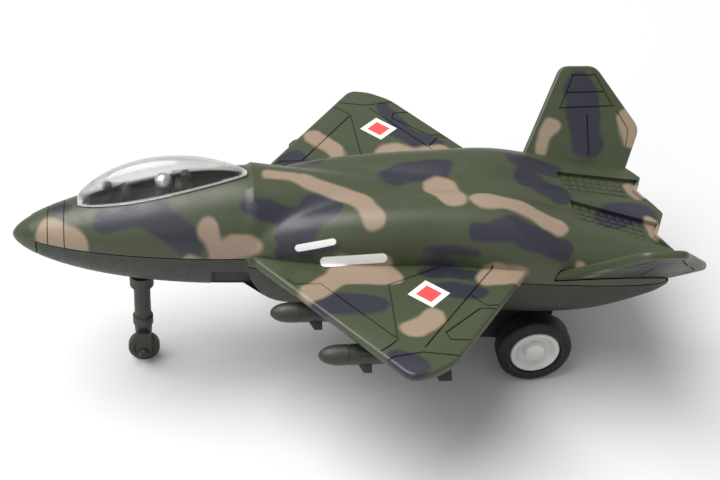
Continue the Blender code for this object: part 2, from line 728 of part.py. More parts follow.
def missile(name, x, nose_y, mat):
    """Rocket body with cruciform fins on a pylon under the wing."""
    z = MISSILE_Z
    profile = ((0.0, 0.5), (0.7, 1.4), (2.2, 2.2), (5.0, MISSILE_R), (30.0, MISSILE_R), (32.0, 2.0))
    body = turned_y(name, (x, z), [(nose_y + along, r) for along, r in profile], mat, 14)
    for start, length, low_span in ((8.5, 4.4, 4.6), (25.5, 7.0, 7.2)):
        for turn in (45.0, 135.0, 225.0, 315.0):
            a = math.radians(turn)
            span = low_span if turn > 180.0 else 4.6
            d = (math.cos(a), math.sin(a))
            n = (-d[1] * 0.4, d[0] * 0.4)
            rings = []
            for y, s in ((nose_y + start, 1.2), (nose_y + start + 0.55 * length, span),
                         (nose_y + start + length, span)):
                rings.append([(x + d[0] * s + n[0], y, z + d[1] * s + n[1]),
                              (x + d[0] * 0.6 + n[0], y, z + d[1] * 0.6 + n[1]),
                              (x + d[0] * 0.6 - n[0], y, z + d[1] * 0.6 - n[1]),
                              (x + d[0] * s - n[0], y, z + d[1] * s - n[1])])
            join(body, loft("fins", rings))
    top = wing_top(x) - WING_THICK - GAP - WING_RISE
    join(body, box("pylon", (x - 0.7, nose_y + 10.0, z + 1.0), (x + 0.7, nose_y + 22.0, top)))
    return body


def missiles():
    mat = material("store_plastic", DARK_OLIVE, 0.5)
    for side, tag in ((1, "left"), (-1, "right")):
        for kind, x, nose_y in MISSILES:
            missile(f"{tag}_{kind}_missile", side * x, nose_y, mat)


def screws():
    steel = material("screw_steel", STEEL, 0.35, 1.0)
    for tag, place in zip(("front", "rear"), SCREWS):
        seat = line(KEEL, place[1]) + SEAT_DEPTH - GAP
        screw = turned_z(tag + "_body_screw", place, ((seat - 1.4, 1.6), (seat - 1.1, 2.0), (seat, 2.0),
                                                      (seat, 0.75), (SCREW_TOP, 0.75)), steel, 12)
        for turn in (0, 1):
            a, b = (1.3, 0.25) if turn else (0.25, 1.3)
            low = (place[0] - a, place[1] - b, seat - 3.0)
            high = (place[0] + a, place[1] + b, seat - 0.8)
            cut(screw, box("slot", low, high))


def stand_up():
    """Pitches the whole toy onto its wheels."""
    stance = bpy.data.objects.new("stance", None)
    bpy.context.collection.objects.link(stance)
    for obj in bpy.data.objects:
        if obj.type == "MESH":
            obj.parent = stance
    stance.rotation_euler = (-PITCH, 0.0, 0.0)
    stance.location = (0.0, SHIFT_Y * MM, LIFT * MM)


def set_origin(name, centre):
    """Puts a turning piece's origin on its axis; centre is (y, z) in the airframe's frame."""
    obj = bpy.data.objects[name]
    place = Vector((0.0, centre[0], centre[1])) * MM
    obj.data.transform(Matrix.Translation(-place))
    obj.location = place


def main():
    clear_scene()
    upper_body()
    lower_body()
    tail_fins()
    cockpit()
    nose_gear()
    main_wheels()
    motor()
    missiles()
    screws()
    for name in ("main_axle", "left_wheel_hub", "right_wheel_hub", "left_tyre", "right_tyre", "axle_pinion"):
        set_origin(name, AXLE)
    set_origin("idler_gear", IDLER)
    for name in ("drum_gear", "mainspring"):
        set_origin(name, DRUM)
    set_origin("nose_wheel", NOSE_AXLE)
    stand_up()


main()
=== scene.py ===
"""Looks of the toy stealth jet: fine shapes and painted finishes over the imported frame.

Shapes are drawn in the airframe's own frame in millimetres, with the wing level, and every piece gets
the stance that puts the toy on its wheels.
"""

import math
from types import SimpleNamespace

import bmesh
import bpy
from bpy.props import FloatProperty, FloatVectorProperty, PointerProperty
from mathutils import Matrix, Vector


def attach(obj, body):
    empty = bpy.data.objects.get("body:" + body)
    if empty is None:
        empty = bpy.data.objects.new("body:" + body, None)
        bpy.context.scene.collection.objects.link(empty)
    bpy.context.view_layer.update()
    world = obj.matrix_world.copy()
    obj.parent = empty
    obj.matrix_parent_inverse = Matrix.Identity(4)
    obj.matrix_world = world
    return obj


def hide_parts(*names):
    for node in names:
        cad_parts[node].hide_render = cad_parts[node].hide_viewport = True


bl_info = {
    "name": "Toy Stealth Jet",
    "version": (1, 0, 0),
    "blender": (4, 5, 0),
    "location": "View3D > Sidebar > Toy Jet",
    "description": "Builds the fine shapes and finishes of a toy jet with a pull-back motor",
    "category": "Add Mesh",
}

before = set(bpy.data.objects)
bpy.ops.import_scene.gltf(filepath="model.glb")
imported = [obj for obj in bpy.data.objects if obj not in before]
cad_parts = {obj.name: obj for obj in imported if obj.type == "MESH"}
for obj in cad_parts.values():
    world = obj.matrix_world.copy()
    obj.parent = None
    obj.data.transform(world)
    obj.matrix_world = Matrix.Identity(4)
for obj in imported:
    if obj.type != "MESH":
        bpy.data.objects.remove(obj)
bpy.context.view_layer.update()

MM = 0.001
GAP = 0.3
PITCH = math.radians(3.6)
LIFT = 11.25
SHIFT_Y = 0.94
STANCE = Matrix.Translation((0.0, SHIFT_Y * MM, LIFT * MM)) @ Matrix.Rotation(-PITCH, 4, "X")

# fuselage and wing, as in the frame
NOSE_Y = -90.3
TAIL_Y = 83.0
NOSE_LENGTH = 60.0
BODY_R = 14.3
CENTRE_Z = 29.6
CHIN_END = -84.3
SPLIT_FRONT = 31.0
SPLIT_REAR = 28.4
WING_START_Y = -31.0
WING_TOP = 31.6
WING_RISE = 0.034
WING_THICK = 2.9
WING_PLAN = ((9.0, -30.4), (15.3, -30.4), (60.4, 2.7), (61.5, 4.6), (60.8, 9.4), (56.8, 15.6),
             (21.0, 41.9), (10.0, 46.0))
SPINE = ((-30.0, 17.4), (-8.0, 14.6), (14.0, 12.6), (34.0, 11.6), (54.0, 8.2), (83.0, 0.6))
CREST = ((-33.0, 4.0), (-24.0, 9.0), (-10.0, 12.0), (6.0, 13.4), (28.0, 13.8), (38.0, 12.6),
         (54.0, 8.0), (83.0, 0.4))
CREST_X = ((-33.0, 8.5), (0.0, 9.6), (28.0, 10.2), (46.0, 12.2), (83.0, 15.0))
HALF_WIDTH = ((-31.0, 14.3), (-20.0, 17.5), (0.0, 19.8), (20.0, 21.0), (48.0, 24.6), (74.0, 25.2),
              (83.0, 21.0))
KEEL = ((-31.0, 15.3), (-25.0, 13.6), (-18.0, 13.0), (20.0, 12.8), (57.0, 13.6), (83.0, 26.4))
WING_LINES = (
    ((24.6, -21.5), (26.4, -19.8), (26.6, -13.5), (48.0, 2.3)),
    ((21.0, 17.6), (27.6, 3.4), (48.6, 2.6), (50.6, 0.6), (52.6, -2.0)),
    ((22.0, 31.0), (51.8, 8.6)),
    ((33.0, 23.6), (37.0, 26.6), (36.6, 31.4)),
    ((38.2, 29.8), (38.0, 24.6), (46.6, 14.6), (49.2, 15.4), (49.6, 20.0)),
    ((55.6, -0.6), (54.6, 1.0), (53.4, 8.0), (55.2, 17.0)),
)
SCREWS = ((0.0, -36.3), (0.0, 66.4))
NOSE_RINGS = (-81.0, -76.8)
DECK_TEETH = ((30.0, 76.0), (22.5, 77.6), (16.7, 81.6), (10.1, 78.4), (0.0, 83.2))
TROUGH = ((2.0, 55.4), (10.8, 54.6), (15.4, 80.4), (10.2, 77.4), (5.0, 80.0))
TROUGH_X = 13.0
TROUGH_DEPTH = 1.1
TILE_START_Y = 57.4
TILE_PITCH = (2.1, 2.35)
COCKPIT_FLOOR = 35.2

# tail fins, in their own plane of (along the slope, y)
FIN_ROOT = (24.2, 31.0)
FIN_SLOPE = math.radians(49.0)
FIN_PLAN = ((-3.0, 46.0), (28.8, 61.2), (28.8, 71.6), (10.6, 84.0), (-3.0, 78.6))
FIN_THICK = 2.0
FIN_LINES = (
    ((26.0, 64.3), (26.0, 71.6)),
    ((26.3, 71.2), (16.8, 76.1)),
    ((17.1, 76.3), (16.6, 60.2)),
    ((16.4, 60.5), (26.2, 64.8)),
    ((21.0, 62.4), (21.2, 73.8)),
    ((14.4, 68.4), (3.0, 68.4)),
    ((15.4, 77.4), (10.2, 80.4), (5.4, 79.6)),
)

# undercarriage
AXLE = (46.9, 1.9)
TYRE_X = (15.6, 22.4)
AXLE_R = 1.2
NOSE_AXLE = (-58.1, -10.6)
NOSE_WHEEL_W = 3.4

# missiles: kind, distance from the middle, foremost point
MISSILES = (("inner", 28.5, -26.0), ("outer", 44.5, -15.5))
MISSILE_Z = 25.0

# camouflage: soft strokes from one point to another with a radius, on the skin of the airframe
TAN_STROKES = (
    ((5.5, -79.5, 32.2), (8.5, -73.2, 32.2), 3.4),
    ((12.5, -41.5, 38.0), (13.5, -38.0, 32.0), 2.4),
    ((13.5, -38.0, 33.0), (13.5, -31.0, 34.5), 2.6),
    ((13.5, -46.0, 31.5), (13.5, -40.0, 30.5), 1.6),
    ((0.0, -26.0, 48.0), (1.5, -14.0, 46.5), 1.3),
    ((1.5, -14.0, 46.5), (7.5, -3.0, 44.5), 2.2),
    ((7.5, -3.0, 44.5), (15.0, 1.5, 42.0), 2.4),
    ((1.5, 20.5, 43.5), (7.0, 22.0, 44.5), 4.0),
    ((9.5, 30.0, 45.0), (11.0, 38.0, 43.0), 2.6),
    ((11.0, 38.0, 43.0), (15.5, 48.0, 40.5), 3.0),
    ((6.5, 77.5, 33.0), (10.0, 78.0, 32.5), 2.0),
    ((-13.0, 76.0, 32.0), (-8.0, 78.0, 32.0), 1.8),
    ((-38.0, -10.0, 33.0), (-31.0, -3.0, 33.0), 2.6),
    ((-31.0, -3.0, 33.0), (-21.0, -1.0, 35.0), 2.2),
    ((-30.0, 10.0, 33.0), (-31.0, 26.0, 33.0), 2.4),
    ((30.0, -16.5, 33.0), (23.5, -8.0, 33.0), 3.0),
    ((23.0, -8.0, 33.0), (23.0, 3.0, 33.0), 3.6),
    ((24.5, 29.0, 33.0), (25.0, 37.0, 32.0), 2.8),
    ((44.0, 8.0, 33.0), (40.0, 14.0, 33.0), 2.6),
    ((-27.0, 54.0, 35.0), (-31.0, 58.0, 41.0), 1.6),
    ((-32.0, 80.0, 41.0), (-29.0, 81.0, 38.0), 2.6),
    ((27.0, 54.0, 35.0), (31.0, 58.0, 41.0), 1.6),
)
NAVY_STROKES = (
    ((-1.0, -79.5, 37.0), (1.0, -76.5, 38.0), 1.8),
    ((7.0, -66.0, 38.4), (9.0, -53.0, 40.0), 2.6),
    ((9.5, -53.0, 39.5), (13.0, -45.5, 35.0), 3.0),
    ((8.5, -29.5, 43.8), (11.0, -20.0, 42.0), 2.6),
    ((9.0, -12.0, 43.5), (14.5, -20.0, 38.5), 4.2),
    ((-3.0, 8.0, 44.0), (-5.5, 20.0, 44.0), 3.3),
    ((17.5, 27.0, 42.0), (18.0, 37.0, 41.5), 2.4),
    ((18.0, 37.0, 41.5), (21.5, 49.0, 37.0), 3.0),
    ((20.0, 14.0, 37.0), (20.5, 27.0, 36.0), 1.2),
    ((6.0, 66.0, 35.0), (2.0, 76.0, 34.0), 4.2),
    ((-12.0, 43.0, 42.5), (-10.0, 54.0, 39.5), 3.0),
    ((-5.0, 44.0, 41.0), (0.0, 52.0, 38.5), 3.5),
    ((-27.0, -15.0, 33.0), (-14.0, -12.0, 41.0), 3.2),
    ((-52.0, 13.0, 33.0), (-42.0, 17.0, 33.0), 2.4),
    ((-40.0, 14.0, 33.0), (-35.0, 24.0, 33.0), 3.4),
    ((22.0, 13.0, 34.0), (23.0, 25.0, 33.0), 2.2),
    ((16.0, -23.0, 33.5), (16.5, -9.0, 37.0), 1.8),
    ((34.5, -13.0, 33.0), (35.5, -1.0, 33.0), 3.0),
    ((30.0, 18.0, 33.0), (30.0, 25.0, 33.0), 2.6),
    ((56.0, 2.0, 33.0), (59.0, 6.0, 33.0), 2.6),
    ((-38.0, 66.0, 48.0), (-28.0, 68.0, 36.0), 4.4),
    ((38.0, 66.0, 48.0), (28.0, 68.0, 36.0), 4.4),
)
WHITE_BARS = (
    ((17.0, -18.4, 36.2), (16.8, -9.8, 38.0), 0.95),
    ((18.6, -11.6, 33.0), (19.8, 2.6, 34.6), 1.35),
)
MARKS = ((31.7, 12.9), (-41.5, 10.0))

# lamps: name, place and size in metres; the camera's lens in millimetres
LAMPS = (("key", (-0.10, -0.75, 1.9), 2.0), ("fill", (0.60, -0.25, 0.45), 0.5))
LAMP_AIM = Vector((0.0, 0.0, 0.03))
LENS, SENSOR = 67.85, 36.0
CAMERA = Matrix(((0.1214, -0.6191, 0.7759, 0.2822), (0.9926, 0.0707, -0.0989, -0.0334),
                 (0.0064, 0.7821, 0.6231, 0.2628), (0.0, 0.0, 0.0, 1.0)))


# ---------------------------------------------------------------- settings

class ToyJetShape(bpy.types.PropertyGroup):
    tyre_radius: FloatProperty(name="Tyre radius", description="Outside radius of a main wheel",
                              default=10.2 * MM, unit="LENGTH", precision=5)
    rim_radius: FloatProperty(name="Rim radius", description="Seat of the tyre on its hub",
                             default=7.1 * MM, unit="LENGTH", precision=5)
    nose_wheel_radius: FloatProperty(name="Nose wheel radius", description="Outside radius of the nose wheel",
                                    default=4.3 * MM, unit="LENGTH", precision=5)
    canopy_front: FloatProperty(name="Canopy front", description="Foremost point of the canopy",
                               default=-74.0 * MM, unit="LENGTH", precision=5)
    canopy_back: FloatProperty(name="Canopy back", description="Rearmost point of the canopy",
                              default=-30.0 * MM, unit="LENGTH", precision=5)
    canopy_half: FloatProperty(name="Canopy half width", description="Half of its greatest width",
                              default=5.2 * MM, unit="LENGTH", precision=5)
    canopy_height: FloatProperty(name="Canopy height", description="Rise above the sill",
                                default=8.8 * MM, unit="LENGTH", precision=5)
    canopy_wall: FloatProperty(name="Canopy wall", description="Thickness of the clear plastic",
                              default=0.8 * MM, unit="LENGTH", precision=5)
    groove_width: FloatProperty(name="Panel line width", description="Width at the skin",
                               default=0.5 * MM, unit="LENGTH", precision=5)
    groove_depth: FloatProperty(name="Panel line depth", description="Depth of the shallowest line",
                               default=0.42 * MM, unit="LENGTH", precision=5)


class ToyJetPaint(bpy.types.PropertyGroup):
    olive: FloatVectorProperty(name="Olive", description="Ground colour of the camouflage",
                              default=(0.040, 0.051, 0.021), subtype="COLOR")
    navy: FloatVectorProperty(name="Navy", description="Dark strokes of the camouflage",
                             default=(0.014, 0.015, 0.026), subtype="COLOR")
    tan: FloatVectorProperty(name="Tan", description="Pale strokes of the camouflage",
                            default=(0.270, 0.200, 0.140), subtype="COLOR")
    plain: FloatVectorProperty(name="Plain olive", description="Lower shell and stores",
                              default=(0.026, 0.030, 0.020), subtype="COLOR")
    mark_white: FloatVectorProperty(name="Mark white", description="Bars and edge of the marks",
                                   default=(0.80, 0.80, 0.79), subtype="COLOR")
    mark_red: FloatVectorProperty(name="Mark red", description="Middle of the marks",
                                 default=(0.62, 0.07, 0.06), subtype="COLOR")
    spread: FloatProperty(name="Spread", description="Added to the radius of every stroke",
                         default=0.5 * MM, unit="LENGTH", precision=5)
    softness: FloatProperty(name="Softness", description="Width of a stroke's soft edge",
                           default=0.7 * MM, unit="LENGTH", precision=5)


class ToyJetStage(bpy.types.PropertyGroup):
    floor_size: FloatProperty(name="Floor size", description="Side of the floor", default=6.0, unit="LENGTH")
    key_power: FloatProperty(name="Key power", description="Main light", default=62.0, unit="POWER")
    fill_power: FloatProperty(name="Fill power", description="Fill light", default=0.6, unit="POWER")
    sky: FloatProperty(name="Sky", description="Strength of the even light around the toy", default=0.5)


def in_mm(settings):
    """Length settings as plain numbers in millimetres."""
    return SimpleNamespace(**{key: getattr(settings, key) / MM for key in settings.__annotations__})


# ---------------------------------------------------------------- mesh helpers

def smooth(t):
    t = min(max(t, 0.0), 1.0)
    return t * t * (3.0 - 2.0 * t)


def line(points, y):
    """Straight runs through a few (y, value) points."""
    if y <= points[0][0]:
        return points[0][1]
    for (y0, v0), (y1, v1) in zip(points, points[1:]):
        if y <= y1:
            return v0 + (v1 - v0) * (y - y0) / (y1 - y0)
    return points[-1][1]


def flowing(points, y):
    """Smooth curve through a few (y, value) points."""
    if y <= points[0][0]:
        return points[0][1]
    if y >= points[-1][0]:
        return points[-1][1]
    for i in range(len(points) - 1):
        y1, v1 = points[i]
        y2, v2 = points[i + 1]
        if y > y2:
            continue
        y0, v0 = points[max(i - 1, 0)]
        y3, v3 = points[min(i + 2, len(points) - 1)]
        slope1 = (v2 - v0) / (y2 - y0)
        slope2 = (v3 - v1) / (y3 - y1)
        span = y2 - y1
        t = (y - y1) / span
        return ((2 * t ** 3 - 3 * t ** 2 + 1) * v1 + (t ** 3 - 2 * t ** 2 + t) * span * slope1
                + (3 * t ** 2 - 2 * t ** 3) * v2 + (t ** 3 - t ** 2) * span * slope2)
    return points[-1][1]


def stations(first, last, count):
    return [first + (last - first) * i / (count - 1) for i in range(count)]


def make(name, verts, faces, mats=()):
    """A named object in the airframe's frame, its mesh in metres."""
    mesh = bpy.data.meshes.new(name)
    mesh.from_pydata([Vector(v) * MM for v in verts], [], faces)
    mesh.validate()
    bm = bmesh.new()
    bm.from_mesh(mesh)
    bmesh.ops.remove_doubles(bm, verts=bm.verts, dist=1e-6)
    bmesh.ops.recalc_face_normals(bm, faces=bm.faces)
    if bm.calc_volume(signed=True) < 0.0:
        bmesh.ops.reverse_faces(bm, faces=bm.faces)
    bm.to_mesh(mesh)
    bm.free()
    for mat in mats:
        mesh.materials.append(mat)
    obj = bpy.data.objects.new(name, mesh)
    bpy.context.scene.collection.objects.link(obj)
    return obj


def loft(name, rings, mats=()):
    """Closed solid through rings of equal length, its two ends filled."""
    count = len(rings[0])
    faces = [tuple(range(count))[::-1]]
    for i in range(len(rings) - 1):
        for j in range(count):
            k = (j + 1) % count
            faces.append((i * count + j, i * count + k, (i + 1) * count + k, (i + 1) * count + j))
    last = (len(rings) - 1) * count
    faces.append(tuple(last + j for j in range(count)))
    return make(name, [p for ring in rings for p in ring], faces, mats)


def prism(name, outline, low, high, mats=(), axis="z"):
    """Outline extruded along an axis; outline is (x, y) for z and (y, z) for x."""
    def put(p, h):
        return (p[0], p[1], h) if axis == "z" else (h, p[0], p[1])
    return loft(name, [[put(p, low) for p in outline], [put(p, high) for p in outline]], mats)


def box(name, low, high, mats=()):
    outline = [(low[0], low[1]), (high[0], low[1]), (high[0], high[1]), (low[0], high[1])]
    return prism(name, outline, low[2], high[2], mats)


def circle(centre, radius, count):
    steps = [2.0 * math.pi * i / count for i in range(count)]
    return [(centre[0] + radius * math.cos(a), centre[1] + radius * math.sin(a)) for a in steps]


def turned(name, axis, centre, profile, mats=(), count=48):
    """Profile of (along, radius) turned about an axis through centre into a closed solid."""
    rings = []
    for along, radius in profile:
        ring = []
        for a, b in circle(centre, radius, count):
            ring.append({"x": (along, a, b), "y": (a, along, b), "z": (a, b, along)}[axis])
        rings.append(ring)
    return loft(name, rings, mats)


def hoop(name, axis, centre, profile, mats=(), count=72, wave=None):
    """Closed profile of (along, radius) turned into a ring; wave moves a radius at a turn."""
    verts = []
    for i in range(count):
        a = 2.0 * math.pi * i / count
        for along, radius in profile:
            r = wave(i, along, radius) if wave else radius
            b, c = centre[0] + r * math.cos(a), centre[1] + r * math.sin(a)
            verts.append((along, b, c) if axis == "x" else (b, along, c))
    n = len(profile)
    faces = []
    for i in range(count):
        k = (i + 1) % count
        for j in range(n):
            m = (j + 1) % n
            faces.append((i * n + j, i * n + m, k * n + m, k * n + j))
    return make(name, verts, faces, mats)


def boolean(target, other, operation):
    """Applies an exact boolean; faces that happen to coincide get one retry, a hair to the side."""
    before = target.data
    for nudge in (0.0, 0.013, 0.029):
        other.location = Vector((nudge, -nudge, nudge)) * MM
        mod = target.modifiers.new("cut", "BOOLEAN")
        mod.operation = operation
        mod.solver = "EXACT"
        mod.object = other
        bpy.context.view_layer.update()
        graph = bpy.context.evaluated_depsgraph_get()
        mesh = bpy.data.meshes.new_from_object(target.evaluated_get(graph))
        target.modifiers.clear()
        if len(mesh.polygons) > len(before.polygons) // 4:
            break
    else:
        raise RuntimeError(f"{target.name} lost its faces in a {operation.lower()}")
    target.data = mesh
    bpy.data.objects.remove(other, do_unlink=True)
    return target


def cut(target, *others):
    for other in others:
        boolean(target, other, "DIFFERENCE")
    return target


def join(target, *others):
    for other in others:
        boolean(target, other, "UNION")
    return target


def rounded(points, radius, steps=5):
    """Outline with its corners rounded."""
    out = []
    count = len(points)
    for i in range(count):
        p = Vector(points[i])
        a = Vector(points[i - 1]) - p
        b = Vector(points[(i + 1) % count]) - p
        reach = min(radius, a.length * 0.45, b.length * 0.45)
        start, end = p + a.normalized() * reach, p + b.normalized() * reach
        for k in range(steps + 1):
            t = k / steps
            q = start * (1 - t) ** 2 + p * (2 * t * (1 - t)) + end * t ** 2
            out.append((q.x, q.y))
    return out


def shrunk(points, amount):
    """Outline drawn in by an even amount; the outline runs either way round."""
    area = sum(points[i - 1][0] * points[i][1] - points[i][0] * points[i - 1][1] for i in range(len(points)))
    turn = 1.0 if area > 0 else -1.0
    out = []
    for i in range(len(points)):
        before, here, after = Vector(points[i - 1]), Vector(points[i]), Vector(points[(i + 1) % len(points)])
        d = (after - before).normalized()
        out.append((here.x - d.y * amount * turn, here.y + d.x * amount * turn))
    return out


def soften(obj, width):
    """Bevels the sharp edges by a width in millimetres."""
    mod = obj.modifiers.new("soft edges", "BEVEL")
    mod.width = width * MM
    mod.segments = 2
    mod.limit_method = "ANGLE"
    mod.angle_limit = math.radians(40.0)


def finish_mesh(obj, angle=32.0, bevel=0.0):
    """Rounds the sharp edges of a piece and shades it."""
    if bevel:
        soften(obj, bevel)
        graph = bpy.context.evaluated_depsgraph_get()
        mesh = bpy.data.meshes.new_from_object(obj.evaluated_get(graph))
        obj.modifiers.clear()
        obj.data = mesh
    obj.data.shade_smooth()
    obj.data.set_sharp_from_angle(angle=math.radians(angle))
    return obj


def settle(obj, body, nodes):
    """Puts a finished piece on its body in place of its nodes."""
    obj.matrix_world = STANCE
    bpy.context.view_layer.update()
    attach(obj, body)
    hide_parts(*nodes)
    return obj


def repaint(node, mat):
    """New finish for a node that keeps its own mesh."""
    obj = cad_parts[node]
    obj.data.materials.clear()
    obj.data.materials.append(mat)
    return finish_mesh(obj)


# ---------------------------------------------------------------- shader helpers

def feed(tree, slot, value):
    """Links a shade to an input, or sets the input to a constant."""
    if isinstance(value, Shade):
        tree.links.new(value.socket, slot)
    else:
        slot.default_value = value


class Shade:
    """A node socket that takes part in sums, and makes the nodes they need."""

    def __init__(self, tree, socket):
        self.tree = tree
        self.socket = socket

    @classmethod
    def node(cls, tree, kind, settings=None, out=0, **inputs):
        node = tree.nodes.new("ShaderNode" + kind)
        for key, value in (settings or {}).items():
            setattr(node, key, value)
        for key, value in inputs.items():
            slot = int(key[1:]) if key[1:].isdigit() else key.replace("_", " ")
            feed(tree, node.inputs[slot], value)
        return cls(tree, node.outputs[out])

    def math(self, operation, *others, clamp=False):
        values = {f"i{k}": value for k, value in enumerate((self, *others))}
        return Shade.node(self.tree, "Math", {"operation": operation, "use_clamp": clamp}, **values)

    def __add__(self, other):
        return self.math("ADD", other)

    def __radd__(self, other):
        return self.math("ADD", other)

    def __mul__(self, other):
        return self.math("MULTIPLY", other)

    def __rmul__(self, other):
        return self.math("MULTIPLY", other)

    def __sub__(self, other):
        return self.math("SUBTRACT", other)

    def __rsub__(self, other):
        return (self * -1.0) + other

    def __truediv__(self, other):
        return self.math("DIVIDE", other)

    def vector(self, operation, *others, out=0, scale=None):
        values = {f"i{k}": value for k, value in enumerate((self, *others))}
        if scale is not None:
            values["Scale"] = scale
        return Shade.node(self.tree, "VectorMath", {"operation": operation}, out, **values)

    def ramp(self, low, high, to_low=0.0, to_high=1.0):
        return Shade.node(self.tree, "MapRange", {"interpolation_type": "SMOOTHSTEP"}, 0, Value=self,
                          i1=low, i2=high, i3=to_low, i4=to_high)

    def mix(self, a, b):
        """Colour between a and b by this value."""
        mix = self.tree.nodes.new("ShaderNodeMix")
        mix.data_type = "RGBA"
        for slot, value in ((0, self), (6, a), (7, b)):
            feed(self.tree, mix.inputs[slot], value if isinstance(value, Shade) else (*value, 1.0))
        return Shade(self.tree, mix.outputs[2])

    def channels(self):
        """The three parts of a vector."""
        split = Shade.node(self.tree, "SeparateXYZ", Vector=self)
        return [Shade(self.tree, part) for part in split.socket.node.outputs]


class Finish:
    """One material with its shader, object coordinates and noise."""

    def __init__(self, name):
        self.mat = bpy.data.materials.new(name)
        self.mat.use_nodes = True
        self.tree = self.mat.node_tree
        self.shader = self.tree.nodes["Principled BSDF"]
        self.place = Shade.node(self.tree, "TexCoord", out=3)

    def noise(self, scale, detail=3.0, stretch=None, rough=0.5):
        where = self.place
        if stretch:
            where = self.place.vector("MULTIPLY", stretch)
        return Shade.node(self.tree, "TexNoise", Vector=where, Scale=scale, Detail=detail, Roughness=rough)

    def wobble(self, scale, amount):
        """Object coordinates pushed about by noise, in metres."""
        push = Shade.node(self.tree, "TexNoise", None, 1, Vector=self.place, Scale=scale, Detail=2.0)
        push = push.vector("SUBTRACT", (0.5, 0.5, 0.5)).vector("SCALE", scale=amount)
        return self.place.vector("ADD", push)

    def set(self, **values):
        for key, value in values.items():
            feed(self.tree, self.shader.inputs[key.replace("_", " ")], value)
        return self

    def bump(self, height, strength, distance):
        relief = Shade.node(self.tree, "Bump", Strength=strength, Distance=distance, Height=height)
        return self.set(Normal=relief)


def stroke(place, start, end, radius):
    """Distance in millimetres outside a round-ended stroke."""
    a = Vector(start) * MM
    along = (Vector(end) - Vector(start)) * MM
    from_a = place.vector("SUBTRACT", tuple(a))
    share = from_a.vector("DOT_PRODUCT", tuple(along), out=1).math(
        "MULTIPLY", 1.0 / along.length_squared, clamp=True)
    nearest = Shade.node(place.tree, "CombineXYZ", X=share * along.x, Y=share * along.y, Z=share * along.z)
    return from_a.vector("DISTANCE", nearest, out=1) / MM - radius


def strokes(place, rows, softness, spread=0.0):
    """1 inside any of the strokes, 0 outside, with a soft edge."""
    closest = None
    for start, end, radius in rows:
        away = stroke(place, start, end, radius + spread)
        closest = away if closest is None else closest.math("SMOOTH_MIN", away, 2.0)
    return closest.ramp(softness, -softness)


def camouflage(name, paint, marked):
    """Satin paint in three colours, with plain marks where asked."""
    look = Finish(name)
    place = look.wobble(60.0, 0.0085)
    edge = (paint.softness / MM, paint.spread / MM)
    colour = strokes(place, NAVY_STROKES, *edge).mix(paint.olive, paint.navy)
    colour = strokes(place, TAN_STROKES, *edge).mix(colour, paint.tan)
    tone = look.noise(26.0, 4.0).ramp(0.3, 0.75, 0.0, 0.12)
    colour = tone.mix(colour, (0.006, 0.008, 0.004))
    if marked:
        x, y, z = (part / MM for part in look.place.channels())
        top = z.ramp(30.8, 31.4)
        bars = strokes(look.place, WHITE_BARS, 0.12) * top
        colour = bars.mix(colour, paint.mark_white)
        for cx, cy in MARKS:
            away = (x - cx).math("ABSOLUTE") + (y - cy).math("ABSOLUTE")
            colour = (away.ramp(5.5, 5.2) * top).mix(colour, paint.mark_white)
            colour = (away.ramp(3.5, 3.2) * top).mix(colour, paint.mark_red)
    dust = look.noise(900.0, 2.0)
    rub = look.noise(120.0, 5.0, rough=0.7)
    colour = rub.ramp(0.72, 0.8, 0.0, 0.12).mix(colour, (0.25, 0.25, 0.22))
    look.set(Base_Color=colour, Roughness=rub.ramp(0.3, 0.7, 0.34, 0.5), Coat_Weight=0.12,
             Coat_Roughness=0.35)
    look.bump(dust * 0.35 + rub * 0.65, 0.22, 0.00012)
    return look.mat


def plastic(name, colour, rough=0.45, grain=700.0, worn=0.18):
    """Moulded plastic with flow marks, scuffs and a fine grain."""
    look = Finish(name)
    flow = look.noise(45.0, 3.0, (1.0, 0.35, 1.0))
    scuff = look.noise(260.0, 4.0, (1.0, 3.0, 1.0), 0.7)
    pale = tuple(min(c * 1.5 + 0.03, 1.0) for c in colour)
    deep = tuple(c * 0.72 for c in colour)
    tint = flow.ramp(0.3, 0.7).mix(deep, colour)
    tint = scuff.ramp(0.62, 0.78, 0.0, worn).mix(tint, pale)
    look.set(Base_Color=tint, Roughness=scuff.ramp(0.3, 0.75, rough - 0.07, rough + 0.1))
    look.bump(look.noise(grain, 2.0) * 0.6 + scuff * 0.4, 0.25, 0.0001)
    return look.mat


def rubber(name):
    look = Finish(name)
    dust = look.noise(180.0, 4.0, rough=0.7)
    tint = dust.ramp(0.45, 0.75, 0.0, 0.5).mix((0.009, 0.009, 0.010), (0.045, 0.043, 0.040))
    look.set(Base_Color=tint, Roughness=dust.ramp(0.3, 0.7, 0.5, 0.72), Specular_IOR_Level=0.4)
    look.bump(look.noise(1500.0, 2.0), 0.35, 0.0001)
    return look.mat


def metal(name, colour, rough=0.28, stretch=(1.0, 12.0, 12.0)):
    look = Finish(name)
    drawn = look.noise(300.0, 3.0, stretch)
    stain = look.noise(60.0, 3.0)
    dark = tuple(c * 0.6 for c in colour)
    look.set(Base_Color=stain.ramp(0.35, 0.7, 0.0, 0.5).mix(colour, dark), Metallic=1.0,
             Roughness=drawn.ramp(0.3, 0.7, rough - 0.08, rough + 0.14))
    look.bump(drawn, 0.15, 0.00006)
    return look.mat


